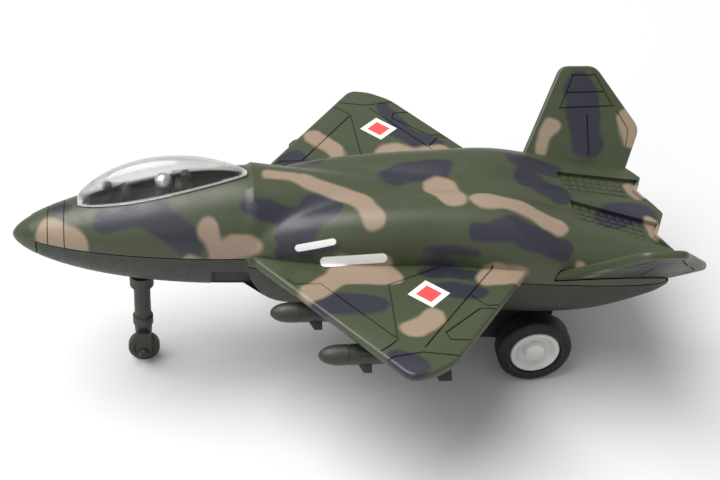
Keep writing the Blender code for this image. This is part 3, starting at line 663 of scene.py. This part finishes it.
def clear_plastic(name, shape):
    """Clear bubble, greyer where it curls in at its two ends."""
    look = Finish(name)
    y = look.place.channels()[1] / MM + look.noise(350.0, 2.0) * 2.4 - 1.2
    front = y.ramp(shape.canopy_front + 7.0, shape.canopy_front + 2.5)
    back = y.ramp(shape.canopy_back - 5.0, shape.canopy_back - 2.0)
    ends = front.math("MAXIMUM", back)
    haze = look.noise(500.0, 4.0, rough=0.65)
    look.set(Base_Color=haze.ramp(0.35, 0.7).mix((0.86, 0.88, 0.88), (0.97, 0.98, 0.98)),
             Roughness=haze.ramp(0.3, 0.7, 0.02, 0.06) + ends * 0.3, IOR=1.45, Transmission_Weight=1.0,
             Alpha=ends * 0.35 + 0.5)
    look.bump(haze, 0.1, 0.00008)
    return look.mat


# ---------------------------------------------------------------- fuselage surfaces

def nose_radius(y):
    t = min(max((y - NOSE_Y) / NOSE_LENGTH, 0.0), 1.0)
    return BODY_R * (1.0 - (1.0 - t) ** 2) ** 0.6


def half_width(y):
    return nose_radius(y) if y < WING_START_Y else flowing(HALF_WIDTH, y)


def top_height(x, y):
    """Height of the upper skin above the joint between the shells."""
    x = abs(x)
    wide = half_width(y)
    rise = 1.0 + 0.235 * smooth((y + 84.0) / 54.0)
    crown = CENTRE_Z + nose_radius(y) * rise - SPLIT_FRONT if y < -30.0 else flowing(SPINE, y)
    spine_wide = wide if y < -30.0 else line(((-30.0, 14.3), (10.0, 9.0), (83.0, 7.0)), y)
    u = min(x / spine_wide, 1.0)
    spine = crown * math.sqrt(max(1.0 - u * u, 0.0))
    if y < -33.0:
        return spine
    crest = flowing(CREST, y)
    centre = flowing(CREST_X, y)
    reach = wide - centre if x > centre else centre + 3.0
    v = min(abs(x - centre) / reach, 1.0)
    hump = crest * math.sqrt(max(1.0 - v ** 2.3, 0.0))
    soft = 2.2
    mix = max(soft - abs(spine - hump), 0.0) / soft
    return max(spine, hump) + mix * mix * soft * 0.25


def split_height(y):
    return line(((WING_START_Y - 0.5, SPLIT_FRONT), (WING_START_Y + 0.5, SPLIT_REAR)), y)


def upper_ring(y, shrink=0.0, count=96, base=None):
    base = split_height(y) if base is None else base
    wide = half_width(y) - shrink
    ring = []
    for i in range(count + 1):
        x = wide * math.cos(math.pi * i / count)
        ring.append((x, y, SPLIT_FRONT + top_height(x * (wide + shrink) / wide, y) - shrink))
    return [(wide, y, base)] + ring + [(-wide, y, base)]


def lower_ring(y, shrink=0.0, count=64):
    base = split_height(y)
    wide = half_width(y) - shrink
    keel = CENTRE_Z - nose_radius(y) if y < WING_START_Y else flowing(KEEL, y)
    depth = base - keel - shrink
    power = 2.0 + 1.2 * smooth((y - WING_START_Y + 0.5) / 9.0)
    ring = [(wide, y, base - GAP)]
    for i in range(count + 1):
        a = math.pi * i / count
        x = wide * math.cos(a) * (0.985 if 0 < i < count else 1.0)
        z = depth * (1.0 - abs(math.cos(a)) ** power) ** (1.0 / power)
        ring.append((x, y, base - GAP - 0.05 - z))
    ring.append((-wide, y, base - GAP))
    return ring


def nose_stations(count=60):
    first, last = NOSE_Y + 0.06, WING_START_Y - 0.5
    return [first + (last - first) * (i / (count - 1)) ** 1.8 for i in range(count)]


def wing_top(x):
    return WING_TOP + WING_RISE * abs(x)


def wing_half(side):
    """Wing panel with a rounded edge."""
    outline = rounded(WING_PLAN, 2.6)
    if side < 0:
        outline = outline[::-1]
    rings = []
    for offset, drop in ((1.4, WING_THICK), (0.7, 2.55), (0.2, 2.1), (0.0, 1.5), (0.05, 0.95), (0.25, 0.45),
                         (0.6, 0.12), (1.0, 0.0)):
        rings.append([(side * x, y, wing_top(x) - drop) for x, y in shrunk(outline, offset)])
    return loft("wing", rings)


def groove(points, shape, put, order=0):
    """Cutter for a panel line along a path; put places (a, b, height) on the surface.

    Lines that cross differ a little in depth by their order, so no two floors lie in one plane.
    """
    half = shape.groove_width / 2
    depth = shape.groove_depth + 0.023 * order
    count = len(points)
    rings = []
    for i, here in enumerate(points):
        before = points[max(i - 1, 0)]
        after = points[min(i + 1, count - 1)]
        d = (Vector(after) - Vector(before)).normalized()
        start = Vector(here) - d * (0.2 if i == 0 else 0.0)
        n = Vector((-d.y, d.x)) * half
        rings.append([put(start.x + n.x * w, start.y + n.y * w, h) for w, h in
                      ((0.4, -depth), (1.0, 0.1), (1.0, 1.2), (-1.0, 1.2), (-1.0, 0.1), (-0.4, -depth))])
    return loft("groove", rings)


def canopy_span(shape, y):
    return min(max((y - shape.canopy_front) / (shape.canopy_back - shape.canopy_front), 0.0), 1.0)


def canopy_half(shape, y):
    return shape.canopy_half * math.sin(math.pi * canopy_span(shape, y) ** 0.85) ** 0.55


def canopy_rise(shape, y):
    return shape.canopy_height * math.sin(math.pi * canopy_span(shape, y) ** 0.75) ** 0.8


def canopy_outline(shape, inset, count=40, ends=0.8):
    ys = stations(shape.canopy_front + ends + inset, shape.canopy_back - ends - inset, count)
    right = [(max(canopy_half(shape, y) - inset, 0.35), y) for y in ys]
    return right + [(-x, y) for x, y in reversed(right)]


def fin_point(side, s, y, n):
    x = FIN_ROOT[0] + s * math.cos(FIN_SLOPE) + n * math.sin(FIN_SLOPE)
    z = FIN_ROOT[1] + s * math.sin(FIN_SLOPE) - n * math.cos(FIN_SLOPE)
    return (side * x, y, z)


def fin_solid(side, name="fin", grow=0.0, mats=()):
    outline = rounded(FIN_PLAN, 2.4)
    rings = []
    half = FIN_THICK / 2
    for n, inset in ((-half, 0.6), (-half * 0.8, 0.3), (-half * 0.45, 0.08), (0.0, 0.0), (half * 0.45, 0.08),
                     (half * 0.8, 0.3), (half, 0.6)):
        shift = math.copysign(grow, n) if n else 0.0
        rings.append([fin_point(side, s, y, n + shift) for s, y in shrunk(outline, inset - grow)])
    return loft(name, rings, mats)


# ---------------------------------------------------------------- operators

class TOYJET_OT_upper_shell(bpy.types.Operator):
    """Painted upper shell with wing, humps, panel lines and rear deck"""
    bl_idname = "toyjet.upper_shell"
    bl_label = "Upper Shell"

    def execute(self, context):
        shape = in_mm(context.scene.toyjet_shape)
        mat = camouflage("camouflage_paint", context.scene.toyjet_paint, True)
        nose = nose_stations()
        rings = [upper_ring(y) for y in [CHIN_END - 1.2] + [y for y in nose if y > CHIN_END]]
        rings += [upper_ring(y) for y in stations(WING_START_Y + 0.5, TAIL_Y, 90)]
        body = loft("painted_upper_shell", rings, [mat])
        for side in (1, -1):
            join(body, wing_half(side))
        tip = [(y, nose_radius(y) + 0.06) for y in nose if y < CHIN_END - 0.2]
        join(body, turned("nose_cone", "y", (0.0, CENTRE_Z), tip + [(CHIN_END, nose_radius(CHIN_END) + 0.06)],
                          count=96))
        self.deck(body)
        inner = [upper_ring(y, 1.6, 32, base=SPLIT_REAR - 1.0) for y in stations(-18.0, 52.0, 24)]
        cut(body, loft("hollow", inner))
        cut(body, prism("opening", canopy_outline(shape, 0.5), COCKPIT_FLOOR, 60.0))
        for y in NOSE_RINGS:
            low, high = nose_radius(y) - 0.35, nose_radius(y) + 5.0
            cut(body, hoop("ring", "y", (0.0, CENTRE_Z),
                           ((y - 0.16, low), (y + 0.16, low), (y + 0.16, high), (y - 0.16, high)), count=96))
        for side in (1, -1):
            cut(body, fin_solid(side, grow=GAP))
            for order, path in enumerate(WING_LINES):
                cut(body, groove(path, shape, lambda x, y, h, s=side: (s * x, y, wing_top(x) + h), order))
        self.tiles(body)
        finish_mesh(body, 30.0)
        settle(body, "airframe", ["upper_body"])
        return {"FINISHED"}

    def deck(self, body):
        """Saw-tooth edge and the two exhaust troughs."""
        outline = [*DECK_TEETH, *((-x, y) for x, y in reversed(DECK_TEETH[:-1])), (-34.0, 95.0), (34.0, 95.0)]
        cut(body, prism("teeth", outline, 20.0, 60.0))
        for side in (1, -1):
            rings = []
            for lift in (-TROUGH_DEPTH, 4.0):
                ring = [(side * x, y, SPLIT_FRONT + top_height(TROUGH_X, y) + lift) for x, y in TROUGH]
                rings.append(ring if side > 0 else ring[::-1])
            cut(body, loft("trough", rings))

    def tiles(self, body):
        """Rows of low tiles on the floor of each trough."""
        verts, faces = [], []
        for side in (1, -1):
            for row in range(8):
                for column in range(4):
                    y = TILE_START_Y + row * TILE_PITCH[1]
                    middle = line(((55.0, 6.4), (80.0, 9.6)), y)
                    x = side * (middle + (column - 1.5) * TILE_PITCH[0])
                    start = len(verts)
                    for h, r in ((-0.6, 0.95), (0.16, 0.95), (0.34, 0.7)):
                        for dx, dy in ((-1, -1), (1, -1), (1, 1), (-1, 1)):
                            py = y + dy * r
                            z = SPLIT_FRONT + top_height(TROUGH_X, py) - TROUGH_DEPTH + h
                            verts.append((x + dx * r * 0.95, py, z))
                    faces.append(tuple(start + k for k in (3, 2, 1, 0)))
                    for level in (0, 4):
                        for k in range(4):
                            m = (k + 1) % 4
                            faces.append((start + level + k, start + level + m, start + level + 4 + m,
                                          start + level + 4 + k))
                    faces.append(tuple(start + 8 + k for k in range(4)))
        tiles = make("exhaust_tiles", verts, faces, [body.data.materials[0]])
        bm = bmesh.new()
        bm.from_mesh(body.data)
        bm.from_mesh(tiles.data)
        bm.to_mesh(body.data)
        bm.free()
        bpy.data.objects.remove(tiles, do_unlink=True)


class TOYJET_OT_lower_shell(bpy.types.Operator):
    """Plain lower shell with intakes and wheel bay"""
    bl_idname = "toyjet.lower_shell"
    bl_label = "Lower Shell"

    def execute(self, context):
        mat = plastic("plain_olive", context.scene.toyjet_paint.plain, 0.5)
        rings = [lower_ring(y) for y in [CHIN_END + GAP] + [y for y in nose_stations() if y > CHIN_END + 0.6]]
        rings += [lower_ring(y) for y in stations(WING_START_Y + 0.5, TAIL_Y - 4.6, 60)]
        body = loft("plain_lower_shell", rings, [mat])
        for side in (1, -1):
            corners = ((5.6, 25.6), (14.2, 26.2), (12.6, 17.4), (6.6, 16.8))
            mouth = rounded([(side * x, z) for x, z in corners], 1.2)
            cut(body, loft("mouth", [[(x, y, z) for x, z in mouth] for y in (-40.0, -23.5)]))
        inner = [lower_ring(y, 1.6, 24) for y in stations(-18.0, 54.0, 20)]
        cut(body, loft("hollow", [[(x, y, z + (4.0 if z > SPLIT_REAR - 0.5 else 0.0)) for x, y, z in r]
                                  for r in inner]))
        cut(body, box("bay", (-12.8, 17.8, -5.0), (12.8, 54.2, 40.0)))
        for side in (1, -1):
            cut(body, box("outlet", (side * 11.0 - 6.0, 70.0, 26.0), (side * 11.0 + 6.0, 90.0, 40.0)))
        cut(body, turned("socket", "z", (0.0, NOSE_AXLE[0]), ((5.0, 2.3), (24.0, 2.3)), count=32))
        for place in SCREWS:
            seat = line(KEEL, place[1]) + 2.2
            cut(body, turned("hole", "z", place, ((0.0, 1.3), (40.0, 1.3)), count=25))
            cut(body, turned("seat", "z", place, ((0.0, 2.4), (seat, 2.4)), count=31))
        finish_mesh(body, 30.0)
        settle(body, "airframe", ["lower_body"])
        return {"FINISHED"}


class TOYJET_OT_tail_fins(bpy.types.Operator):
    """Two slanted tail fins with panel lines on both faces"""
    bl_idname = "toyjet.tail_fins"
    bl_label = "Tail Fins"

    def execute(self, context):
        shape = in_mm(context.scene.toyjet_shape)
        mat = camouflage("fin_paint", context.scene.toyjet_paint, False)
        for side, tag in ((1, "left"), (-1, "right")):
            fin = fin_solid(side, "painted_" + tag + "_fin", 0.0, [mat])
            for face in (1, -1):
                for order, path in enumerate(FIN_LINES):
                    cut(fin, groove(path, shape, lambda s, y, h, k=side, f=face: fin_point(
                        k, s, y, f * (FIN_THICK / 2 + h)), order))
            finish_mesh(fin, 30.0)
            settle(fin, "airframe", [tag + "_tail_fin"])
        return {"FINISHED"}


class TOYJET_OT_canopy(bpy.types.Operator):
    """Clear canopy with a painted highlight along its lip"""
    bl_idname = "toyjet.canopy"
    bl_label = "Canopy"

    def execute(self, context):
        shape = in_mm(context.scene.toyjet_shape)
        clear = clear_plastic("clear_plastic", shape)
        # The lip's pale opaque colour is a painted highlight: it stands for the bright line of light in the
        # clear plastic's edge along its base.
        lip_highlight = plastic("canopy_lip", (0.72, 0.73, 0.71), 0.3)
        outer = self.bubble(shape, 0.0, 0.02, "clear_bubble", 0.6, [clear, lip_highlight])
        cut(outer, self.bubble(shape, shape.canopy_wall, 4.0, "inner", 2.0, ()))
        # Faces along the base take the painted highlight colour of the lip.
        for face in outer.data.polygons:
            centre = face.center / MM
            edge = SPLIT_FRONT + top_height(canopy_half(shape, centre.y), centre.y) + GAP + 0.32
            face.material_index = 1 if centre.z < edge else 0
        finish_mesh(outer, 40.0)
        settle(outer, "airframe", ["canopy"])
        return {"FINISHED"}

    def bubble(self, shape, shrink, drop, name, ends, mats):
        rings = []
        for y in stations(shape.canopy_front + ends, shape.canopy_back - ends, 64):
            half = max(canopy_half(shape, y) - shrink, 0.25)
            rise = max(canopy_rise(shape, y) - shrink, 0.3)
            base = SPLIT_FRONT + top_height(half, y) + GAP
            ring = [(half, y, base - drop)]
            for i in range(41):
                a = math.pi * i / 40
                ring.append((half * math.cos(a), y, base + rise * math.sin(a)))
            ring.append((-half, y, base - drop))
            rings.append(ring)
        return loft(name, rings, mats)


class TOYJET_OT_cockpit(bpy.types.Operator):
    """Tub, panel, sight, seat and pilot"""
    bl_idname = "toyjet.cockpit"
    bl_label = "Cockpit"

    def execute(self, context):
        shape = in_mm(context.scene.toyjet_shape)
        paint = context.scene.toyjet_paint
        black = plastic("cockpit_black", (0.022, 0.022, 0.021), 0.55)
        olive = plastic("cockpit_olive", paint.plain, 0.5)
        self.tub(shape, black)
        side_view = [(-62.6, 38.2), (-59.6, 38.4), (-60.2, 43.4), (-61.2, 44.0), (-62.2, 43.6)]
        panel = prism("dial_panel", side_view, -2.2, 2.2, [olive], "x")
        finish_mesh(panel, bevel=0.18)
        for x, z in ((-1.2, 42.2), (1.2, 42.2), (0.0, 41.0), (-1.2, 40.2), (1.2, 40.2)):
            y = line(((38.4, -59.6), (43.4, -60.2)), z)
            ring = ((y - 0.2, 0.35), (y + 1.0, 0.35), (y + 1.0, 0.5), (y - 0.2, 0.5))
            cut(panel, hoop("dial", "y", (x, z), ring, count=24))
        finish_mesh(panel)
        settle(panel, "airframe", ["instrument_panel"])
        profile = ((38.0, 0.9), (38.3, 0.95), (43.2, 0.7), (43.4, 0.75), (43.6, 1.15), (43.8, 1.3),
                   (44.6, 1.22), (44.9, 1.1), (45.0, 0.8))
        post = turned("gun_sight", "z", (0.0, -65.6), profile, [olive], 32)
        finish_mesh(post)
        settle(post, "airframe", ["sight_post"])
        side_view = [(-55.5, 38.9), (-45.0, 39.7), (-44.6, 44.6), (-48.6, 44.4), (-49.2, 41.3), (-55.5, 40.4)]
        seat = prism("bucket_seat", side_view, -2.0, 2.0, [olive], "x")
        rest = rounded([(-47.6, 43.0), (-45.4, 43.0), (-44.8, 47.2), (-45.8, 48.2), (-47.2, 47.8)], 0.5)
        join(seat, prism("head_rest", rest, -1.1, 1.1, axis="x"))
        for z in (42.2, 43.3):
            y = line(((41.3, -49.2), (44.4, -48.6)), z)
            cut(seat, box("seam", (-3.0, y - 0.4, z - 0.12), (3.0, y + 0.25, z + 0.12)))
        finish_mesh(seat, bevel=0.16)
        settle(seat, "airframe", ["ejection_seat"])
        self.pilot(olive)
        return {"FINISHED"}

    def tub(self, shape, mat):
        tub = prism("cockpit_lining", canopy_outline(shape, 0.5 + GAP), 35.6, 60.0, [mat])
        rim = [(-90.0, 38.4), (-74.0, 38.4), (-52.0, 41.9), (-30.0, 45.4), (0.0, 45.4), (0.0, 80.0),
               (-90.0, 80.0)]
        cut(tub, prism("rim", rim, -20.0, 20.0, axis="x"))
        floor = [(-90.0, 37.0), (-72.0, 37.0), (-30.0, 40.2), (-20.0, 80.0), (-90.0, 80.0)]
        hollow = prism("hollow", canopy_outline(shape, 1.4, ends=1.4), 36.4, 70.0)
        boolean(hollow, prism("floor", floor, -20.0, 20.0, axis="x"), "INTERSECT")
        cut(tub, hollow)
        finish_mesh(tub)
        settle(tub, "airframe", ["cockpit_tub"])

    def pilot(self, suit):
        rings = []
        for z, a, b, y in ((41.5, 1.2, 1.1, -52.6), (41.6, 1.35, 1.25, -52.6), (42.0, 1.65, 1.4, -52.4),
                           (42.5, 1.9, 1.25, -52.1), (42.9, 1.7, 1.15, -51.9), (43.1, 1.1, 0.95, -51.8),
                           (43.3, 0.85, 0.85, -51.7), (43.5, 0.8, 0.8, -51.7)):
            ring = []
            for i in range(40):
                t = 2 * math.pi * i / 40
                crease = 1.0 - 0.05 * abs(math.cos(3 * t))
                ring.append((a * crease * math.cos(t), y + b * crease * math.sin(t), z))
            rings.append(ring)
        torso = loft("pilot_torso", rings, [suit])
        finish_mesh(torso, 50.0)
        settle(torso, "airframe", ["pilot_figure"])
        silver = metal("helmet_silver", (0.62, 0.62, 0.60), 0.36, (1.0, 1.0, 1.0))
        profile = ((43.85, 1.15), (43.95, 1.3), (44.4, 1.95), (44.8, 2.15), (45.2, 2.25), (45.7, 2.24),
                   (46.2, 2.1), (46.7, 1.78), (47.0, 1.5), (47.3, 1.0), (47.45, 0.5))
        head = turned("silver_helmet", "z", (0.0, -51.7), profile, [silver], 48)
        cut(head, box("visor", (-1.4, -55.0, 44.6), (1.4, -53.55, 45.8)))
        cut(head, hoop("brow", "y", (0.0, 45.2), ((-55.0, 1.75), (-51.0, 1.75), (-51.0, 1.9), (-55.0, 1.9)),
                       count=48))
        finish_mesh(head, 40.0)
        settle(head, "airframe", ["pilot_helmet"])


class TOYJET_OT_nose_gear(bpy.types.Operator):
    """Nose leg, its wheel and pin"""
    bl_idname = "toyjet.nose_gear"
    bl_label = "Nose Gear"

    def execute(self, context):
        shape = in_mm(context.scene.toyjet_shape)
        olive = plastic("gear_olive", context.scene.toyjet_paint.plain, 0.48)
        y, z = NOSE_AXLE
        profile = ((-5.2, 2.1), (-5.0, 2.3), (-2.2, 2.4), (-2.0, 2.55), (-1.8, 2.75), (0.6, 2.75),
                   (0.8, 2.6), (0.95, 2.25), (11.5, 2.2), (11.6, 3.1), (11.7, 3.2), (15.1, 3.2), (15.2, 3.1),
                   (15.25, 2.0), (22.0, 2.0))
        leg = turned("nose_leg", "z", (0.0, y), profile, [olive], 48)
        for side in (1, -1):
            near = side * (NOSE_WHEEL_W / 2 + GAP)
            far = side * (NOSE_WHEEL_W / 2 + GAP + 1.2)
            cheek = [(y - 2.1, -3.6), (y + 2.1, -3.6), (y + 2.0, z), (y + 1.4, z - 1.6), (y - 1.4, z - 1.6),
                     (y - 2.0, z)]
            join(leg, prism("cheek", rounded(cheek, 0.8), min(near, far), max(near, far), axis="x"))
        cut(leg, turned("hole", "x", (y, z), ((-8.0, 0.72), (8.0, 0.72)), count=24))
        finish_mesh(leg, 35.0)
        settle(leg, "airframe", ["nose_gear_leg"])
        w, r = NOSE_WHEEL_W / 2, shape.nose_wheel_radius
        ring = ((-w, 1.0), (-w, 1.7), (-w + 0.25, 1.85), (-w + 0.25, 2.5), (-w, 2.65), (-w, r - 1.2),
                (-w + 0.12, r - 0.5), (-w + 0.4, r - 0.12), (-w + 0.8, r))
        ring = ring + tuple((-x, q) for x, q in reversed(ring))
        wheel = hoop("small_wheel", "x", NOSE_AXLE, ring, [olive], 64)
        finish_mesh(wheel, 30.0)
        settle(wheel, "nose_wheel", ["nose_wheel"])
        repaint("nose_axle_pin", plastic("pin_black", (0.012, 0.013, 0.011), 0.4))
        return {"FINISHED"}


class TOYJET_OT_main_wheels(bpy.types.Operator):
    """Rubber tyres on dished hubs, with the steel axle"""
    bl_idname = "toyjet.main_wheels"
    bl_label = "Main Wheels"

    def execute(self, context):
        shape = in_mm(context.scene.toyjet_shape)
        black = rubber("tyre_rubber")
        white = plastic("hub_plastic", (0.66, 0.66, 0.64), 0.32, worn=0.1)
        x0, x1 = TYRE_X
        rim, radius = shape.rim_radius, shape.tyre_radius
        for side, tag in ((1, "left"), (-1, "right")):
            profile = ((x0 + 0.6, rim - 1.0), (x0 + 0.6, rim - 0.4), (x0 + 0.7, rim - 0.3),
                       (x1 - 1.0, rim - 0.3), (x1 - 0.75, rim - 0.35), (x1 - 0.5, rim - 0.6),
                       (x1 - 0.4, rim - 0.95), (x1 - 0.5, rim - 1.3), (x1 - 0.9, rim - 1.75), (x1 - 1.6, 4.9),
                       (x1 - 2.2, 4.45), (x1 - 2.4, 4.1), (x1 - 2.4, 3.2), (x1 - 2.25, 2.95),
                       (x1 - 0.9, 2.75), (x1 - 0.6, 2.6), (x1 - 0.4, 2.2))
            hub = turned(tag + "_dished_hub", "x", AXLE, [(side * x, r) for x, r in profile], [white], 96)
            reach = sorted((side * 10.0, side * (x1 - 0.9)))
            cut(hub, turned("bore", "x", AXLE, [(end, AXLE_R + 0.06) for end in reach], count=24))
            finish_mesh(hub, 34.0)
            settle(hub, "main_wheels", [tag + "_wheel_hub"])
            wall = ((x1 - 0.35, rim), (x1 - 0.1, rim + 0.25), (x1, rim + 0.7), (x1 - 0.02, rim + 1.1),
                    (x1 - 0.16, rim + 1.2), (x1 - 0.16, rim + 1.4), (x1 - 0.05, rim + 1.5),
                    (x1 - 0.3, radius - 1.0), (x1 - 0.65, radius - 0.4), (x1 - 1.2, radius - 0.06),
                    (x1 - 1.5, radius), (x1 - 2.05, radius), (x1 - 2.1, radius - 0.35),
                    (x1 - 2.4, radius - 0.35), (x1 - 2.45, radius), (x1 - 3.2, radius),
                    (x1 - 3.25, radius - 0.35))
            middle = x0 + x1
            ring = wall + tuple((middle - x, r) for x, r in reversed(wall))
            tyre = hoop(tag + "_rubber_tyre", "x", AXLE, [(side * x, r) for x, r in ring], [black], 144,
                        lambda i, x, r: r - 0.12 if r >= radius - 0.01 and i % 4 == 0 else r)
            finish_mesh(tyre, 30.0)
            settle(tyre, "main_wheels", [tag + "_tyre"])
        repaint("main_axle", metal("axle_steel", (0.55, 0.55, 0.56)))
        repaint("axle_pinion", plastic("pinion_nylon", (0.70, 0.69, 0.64), 0.4))
        return {"FINISHED"}


class TOYJET_OT_motor(bpy.types.Operator):
    """Black motor case and the works inside it"""
    bl_idname = "toyjet.motor"
    bl_label = "Pull-back Motor"

    def execute(self, context):
        case = plastic("motor_black", (0.016, 0.016, 0.017), 0.45)
        nylon = plastic("gear_nylon", (0.70, 0.69, 0.64), 0.42)
        steel = metal("shaft_steel", (0.55, 0.55, 0.56))
        for node in ("left_motor_case", "right_motor_case"):
            soften(repaint(node, case), 0.2)
        for node in ("idler_gear", "drum_gear"):
            repaint(node, nylon)
        for node in ("idler_shaft", "drum_shaft"):
            repaint(node, steel)
        repaint("mainspring", metal("spring_steel", (0.33, 0.34, 0.38), 0.25))
        return {"FINISHED"}


class TOYJET_OT_missiles(bpy.types.Operator):
    """Four missiles on pylons under the wing"""
    bl_idname = "toyjet.missiles"
    bl_label = "Missiles"

    def execute(self, context):
        mat = plastic("store_olive", context.scene.toyjet_paint.plain, 0.48)
        for side, tag in ((1, "left"), (-1, "right")):
            for kind, x, nose in MISSILES:
                obj = self.missile(f"{tag}_{kind}_store", side * x, nose, mat)
                finish_mesh(obj, 35.0)
                settle(obj, "airframe", [f"{tag}_{kind}_missile"])
        return {"FINISHED"}

    def missile(self, name, x, nose, mat):
        z = MISSILE_Z
        profile = ((0.0, 0.35), (0.12, 0.7), (0.4, 1.08), (0.9, 1.5), (1.6, 1.92), (2.6, 2.28), (3.8, 2.5),
                   (5.0, 2.6), (7.0, 2.6), (7.1, 2.48), (7.4, 2.48), (7.5, 2.6), (23.6, 2.6), (23.7, 2.48),
                   (24.0, 2.48), (24.1, 2.6), (30.0, 2.6), (31.4, 2.35), (32.0, 2.0))
        body = turned(name, "y", (x, z), [(nose + along, r) for along, r in profile], [mat], 40)
        for start, length, low_span in ((8.5, 4.4, 4.6), (25.5, 7.0, 7.2)):
            for turn in (45.0, 135.0, 225.0, 315.0):
                a = math.radians(turn)
                span = low_span if turn > 180.0 else 4.6
                d = (math.cos(a), math.sin(a))
                rings = []
                for share, s, thick in ((0.0, 1.2, 0.2), (0.3, 0.5 * (1.2 + span), 0.4), (0.55, span, 0.4),
                                        (1.0, span, 0.25)):
                    y = nose + start + share * length
                    n = (-d[1] * thick, d[0] * thick)
                    rings.append([(x + d[0] * out + n[0] * w, y, z + d[1] * out + n[1] * w)
                                  for out, w in ((s, 0.6), (0.6, 1.0), (0.6, -1.0), (s, -0.6))])
                join(body, loft("fins", rings))
        top = wing_top(x) - WING_THICK - GAP - WING_RISE
        join(body, box("pylon", (x - 0.7, nose + 10.0, z + 1.0), (x + 0.7, nose + 22.0, top)))
        return body


class TOYJET_OT_screws(bpy.types.Operator):
    """Steel screws under the lower shell"""
    bl_idname = "toyjet.screws"
    bl_label = "Screws"

    def execute(self, context):
        steel = metal("screw_steel", (0.50, 0.50, 0.51), 0.32, (12.0, 12.0, 1.0))
        for node in ("front_body_screw", "rear_body_screw"):
            repaint(node, steel)
        return {"FINISHED"}


class TOYJET_OT_stage(bpy.types.Operator):
    """Pale floor, soft light and the camera"""
    bl_idname = "toyjet.stage"
    bl_label = "Stage"

    def execute(self, context):
        scene = context.scene
        stage = scene.toyjet_stage
        half = stage.floor_size / 2
        mesh = bpy.data.meshes.new("floor")
        mesh.from_pydata([(-half, -half, 0.0), (half, -half, 0.0), (half, half, 0.0), (-half, half, 0.0)], [],
                         [(0, 1, 2, 3)])
        floor = bpy.data.objects.new("floor", mesh)
        scene.collection.objects.link(floor)
        paper = Finish("white_paper")
        paper.set(Base_Color=paper.noise(3.0).ramp(0.3, 0.7).mix((0.62, 0.62, 0.62), (0.64, 0.64, 0.64)),
                  Roughness=0.7)
        paper.bump(paper.noise(400.0), 0.05, 0.0001)
        mesh.materials.append(paper.mat)
        world = bpy.data.worlds.new("soft_sky")
        world.use_nodes = True
        sky = world.node_tree.nodes["Background"]
        sky.inputs["Color"].default_value = (1.0, 1.0, 1.0, 1.0)
        sky.inputs["Strength"].default_value = stage.sky
        scene.world = world
        for (name, place, size), power in zip(LAMPS, (stage.key_power, stage.fill_power)):
            lamp = bpy.data.lights.new(name, "AREA")
            lamp.shape = "DISK"
            lamp.size = size
            lamp.energy = power
            obj = bpy.data.objects.new(name, lamp)
            obj.location = place
            obj.rotation_euler = (LAMP_AIM - Vector(place)).to_track_quat("-Z", "Y").to_euler()
            scene.collection.objects.link(obj)
        lens = bpy.data.cameras.new("camera")
        lens.lens = LENS
        lens.sensor_width = SENSOR
        lens.clip_start = 0.01
        camera = bpy.data.objects.new("camera", lens)
        camera.matrix_world = CAMERA
        scene.collection.objects.link(camera)
        scene.camera = camera
        scene.view_settings.view_transform = "Standard"
        return {"FINISHED"}


OPERATORS = (TOYJET_OT_upper_shell, TOYJET_OT_lower_shell, TOYJET_OT_tail_fins, TOYJET_OT_canopy,
             TOYJET_OT_cockpit, TOYJET_OT_nose_gear, TOYJET_OT_main_wheels, TOYJET_OT_motor,
             TOYJET_OT_missiles, TOYJET_OT_screws, TOYJET_OT_stage)


class TOYJET_PT_panel(bpy.types.Panel):
    """Sidebar panel with one button for each group of pieces"""
    bl_label = "Toy Jet"
    bl_idname = "TOYJET_PT_panel"
    bl_space_type = "VIEW_3D"
    bl_region_type = "UI"
    bl_category = "Toy Jet"

    def draw(self, context):
        for group in ("toyjet_shape", "toyjet_paint", "toyjet_stage"):
            settings = getattr(context.scene, group)
            for key in settings.__annotations__:
                self.layout.prop(settings, key)
        for operator in OPERATORS:
            self.layout.operator(operator.bl_idname)


CLASSES = (ToyJetShape, ToyJetPaint, ToyJetStage, *OPERATORS, TOYJET_PT_panel)


def register():
    for cls in CLASSES:
        bpy.utils.register_class(cls)
    bpy.types.Scene.toyjet_shape = PointerProperty(type=ToyJetShape)
    bpy.types.Scene.toyjet_paint = PointerProperty(type=ToyJetPaint)
    bpy.types.Scene.toyjet_stage = PointerProperty(type=ToyJetStage)


def unregister():
    del bpy.types.Scene.toyjet_stage
    del bpy.types.Scene.toyjet_paint
    del bpy.types.Scene.toyjet_shape
    for cls in reversed(CLASSES):
        bpy.utils.unregister_class(cls)


def main():
    register()
    bpy.ops.toyjet.upper_shell()
    bpy.ops.toyjet.lower_shell()
    bpy.ops.toyjet.tail_fins()
    bpy.ops.toyjet.canopy()
    bpy.ops.toyjet.cockpit()
    bpy.ops.toyjet.nose_gear()
    bpy.ops.toyjet.main_wheels()
    bpy.ops.toyjet.motor()
    bpy.ops.toyjet.missiles()
    bpy.ops.toyjet.screws()
    bpy.ops.toyjet.stage()


if __name__ == "__main__":
    main()
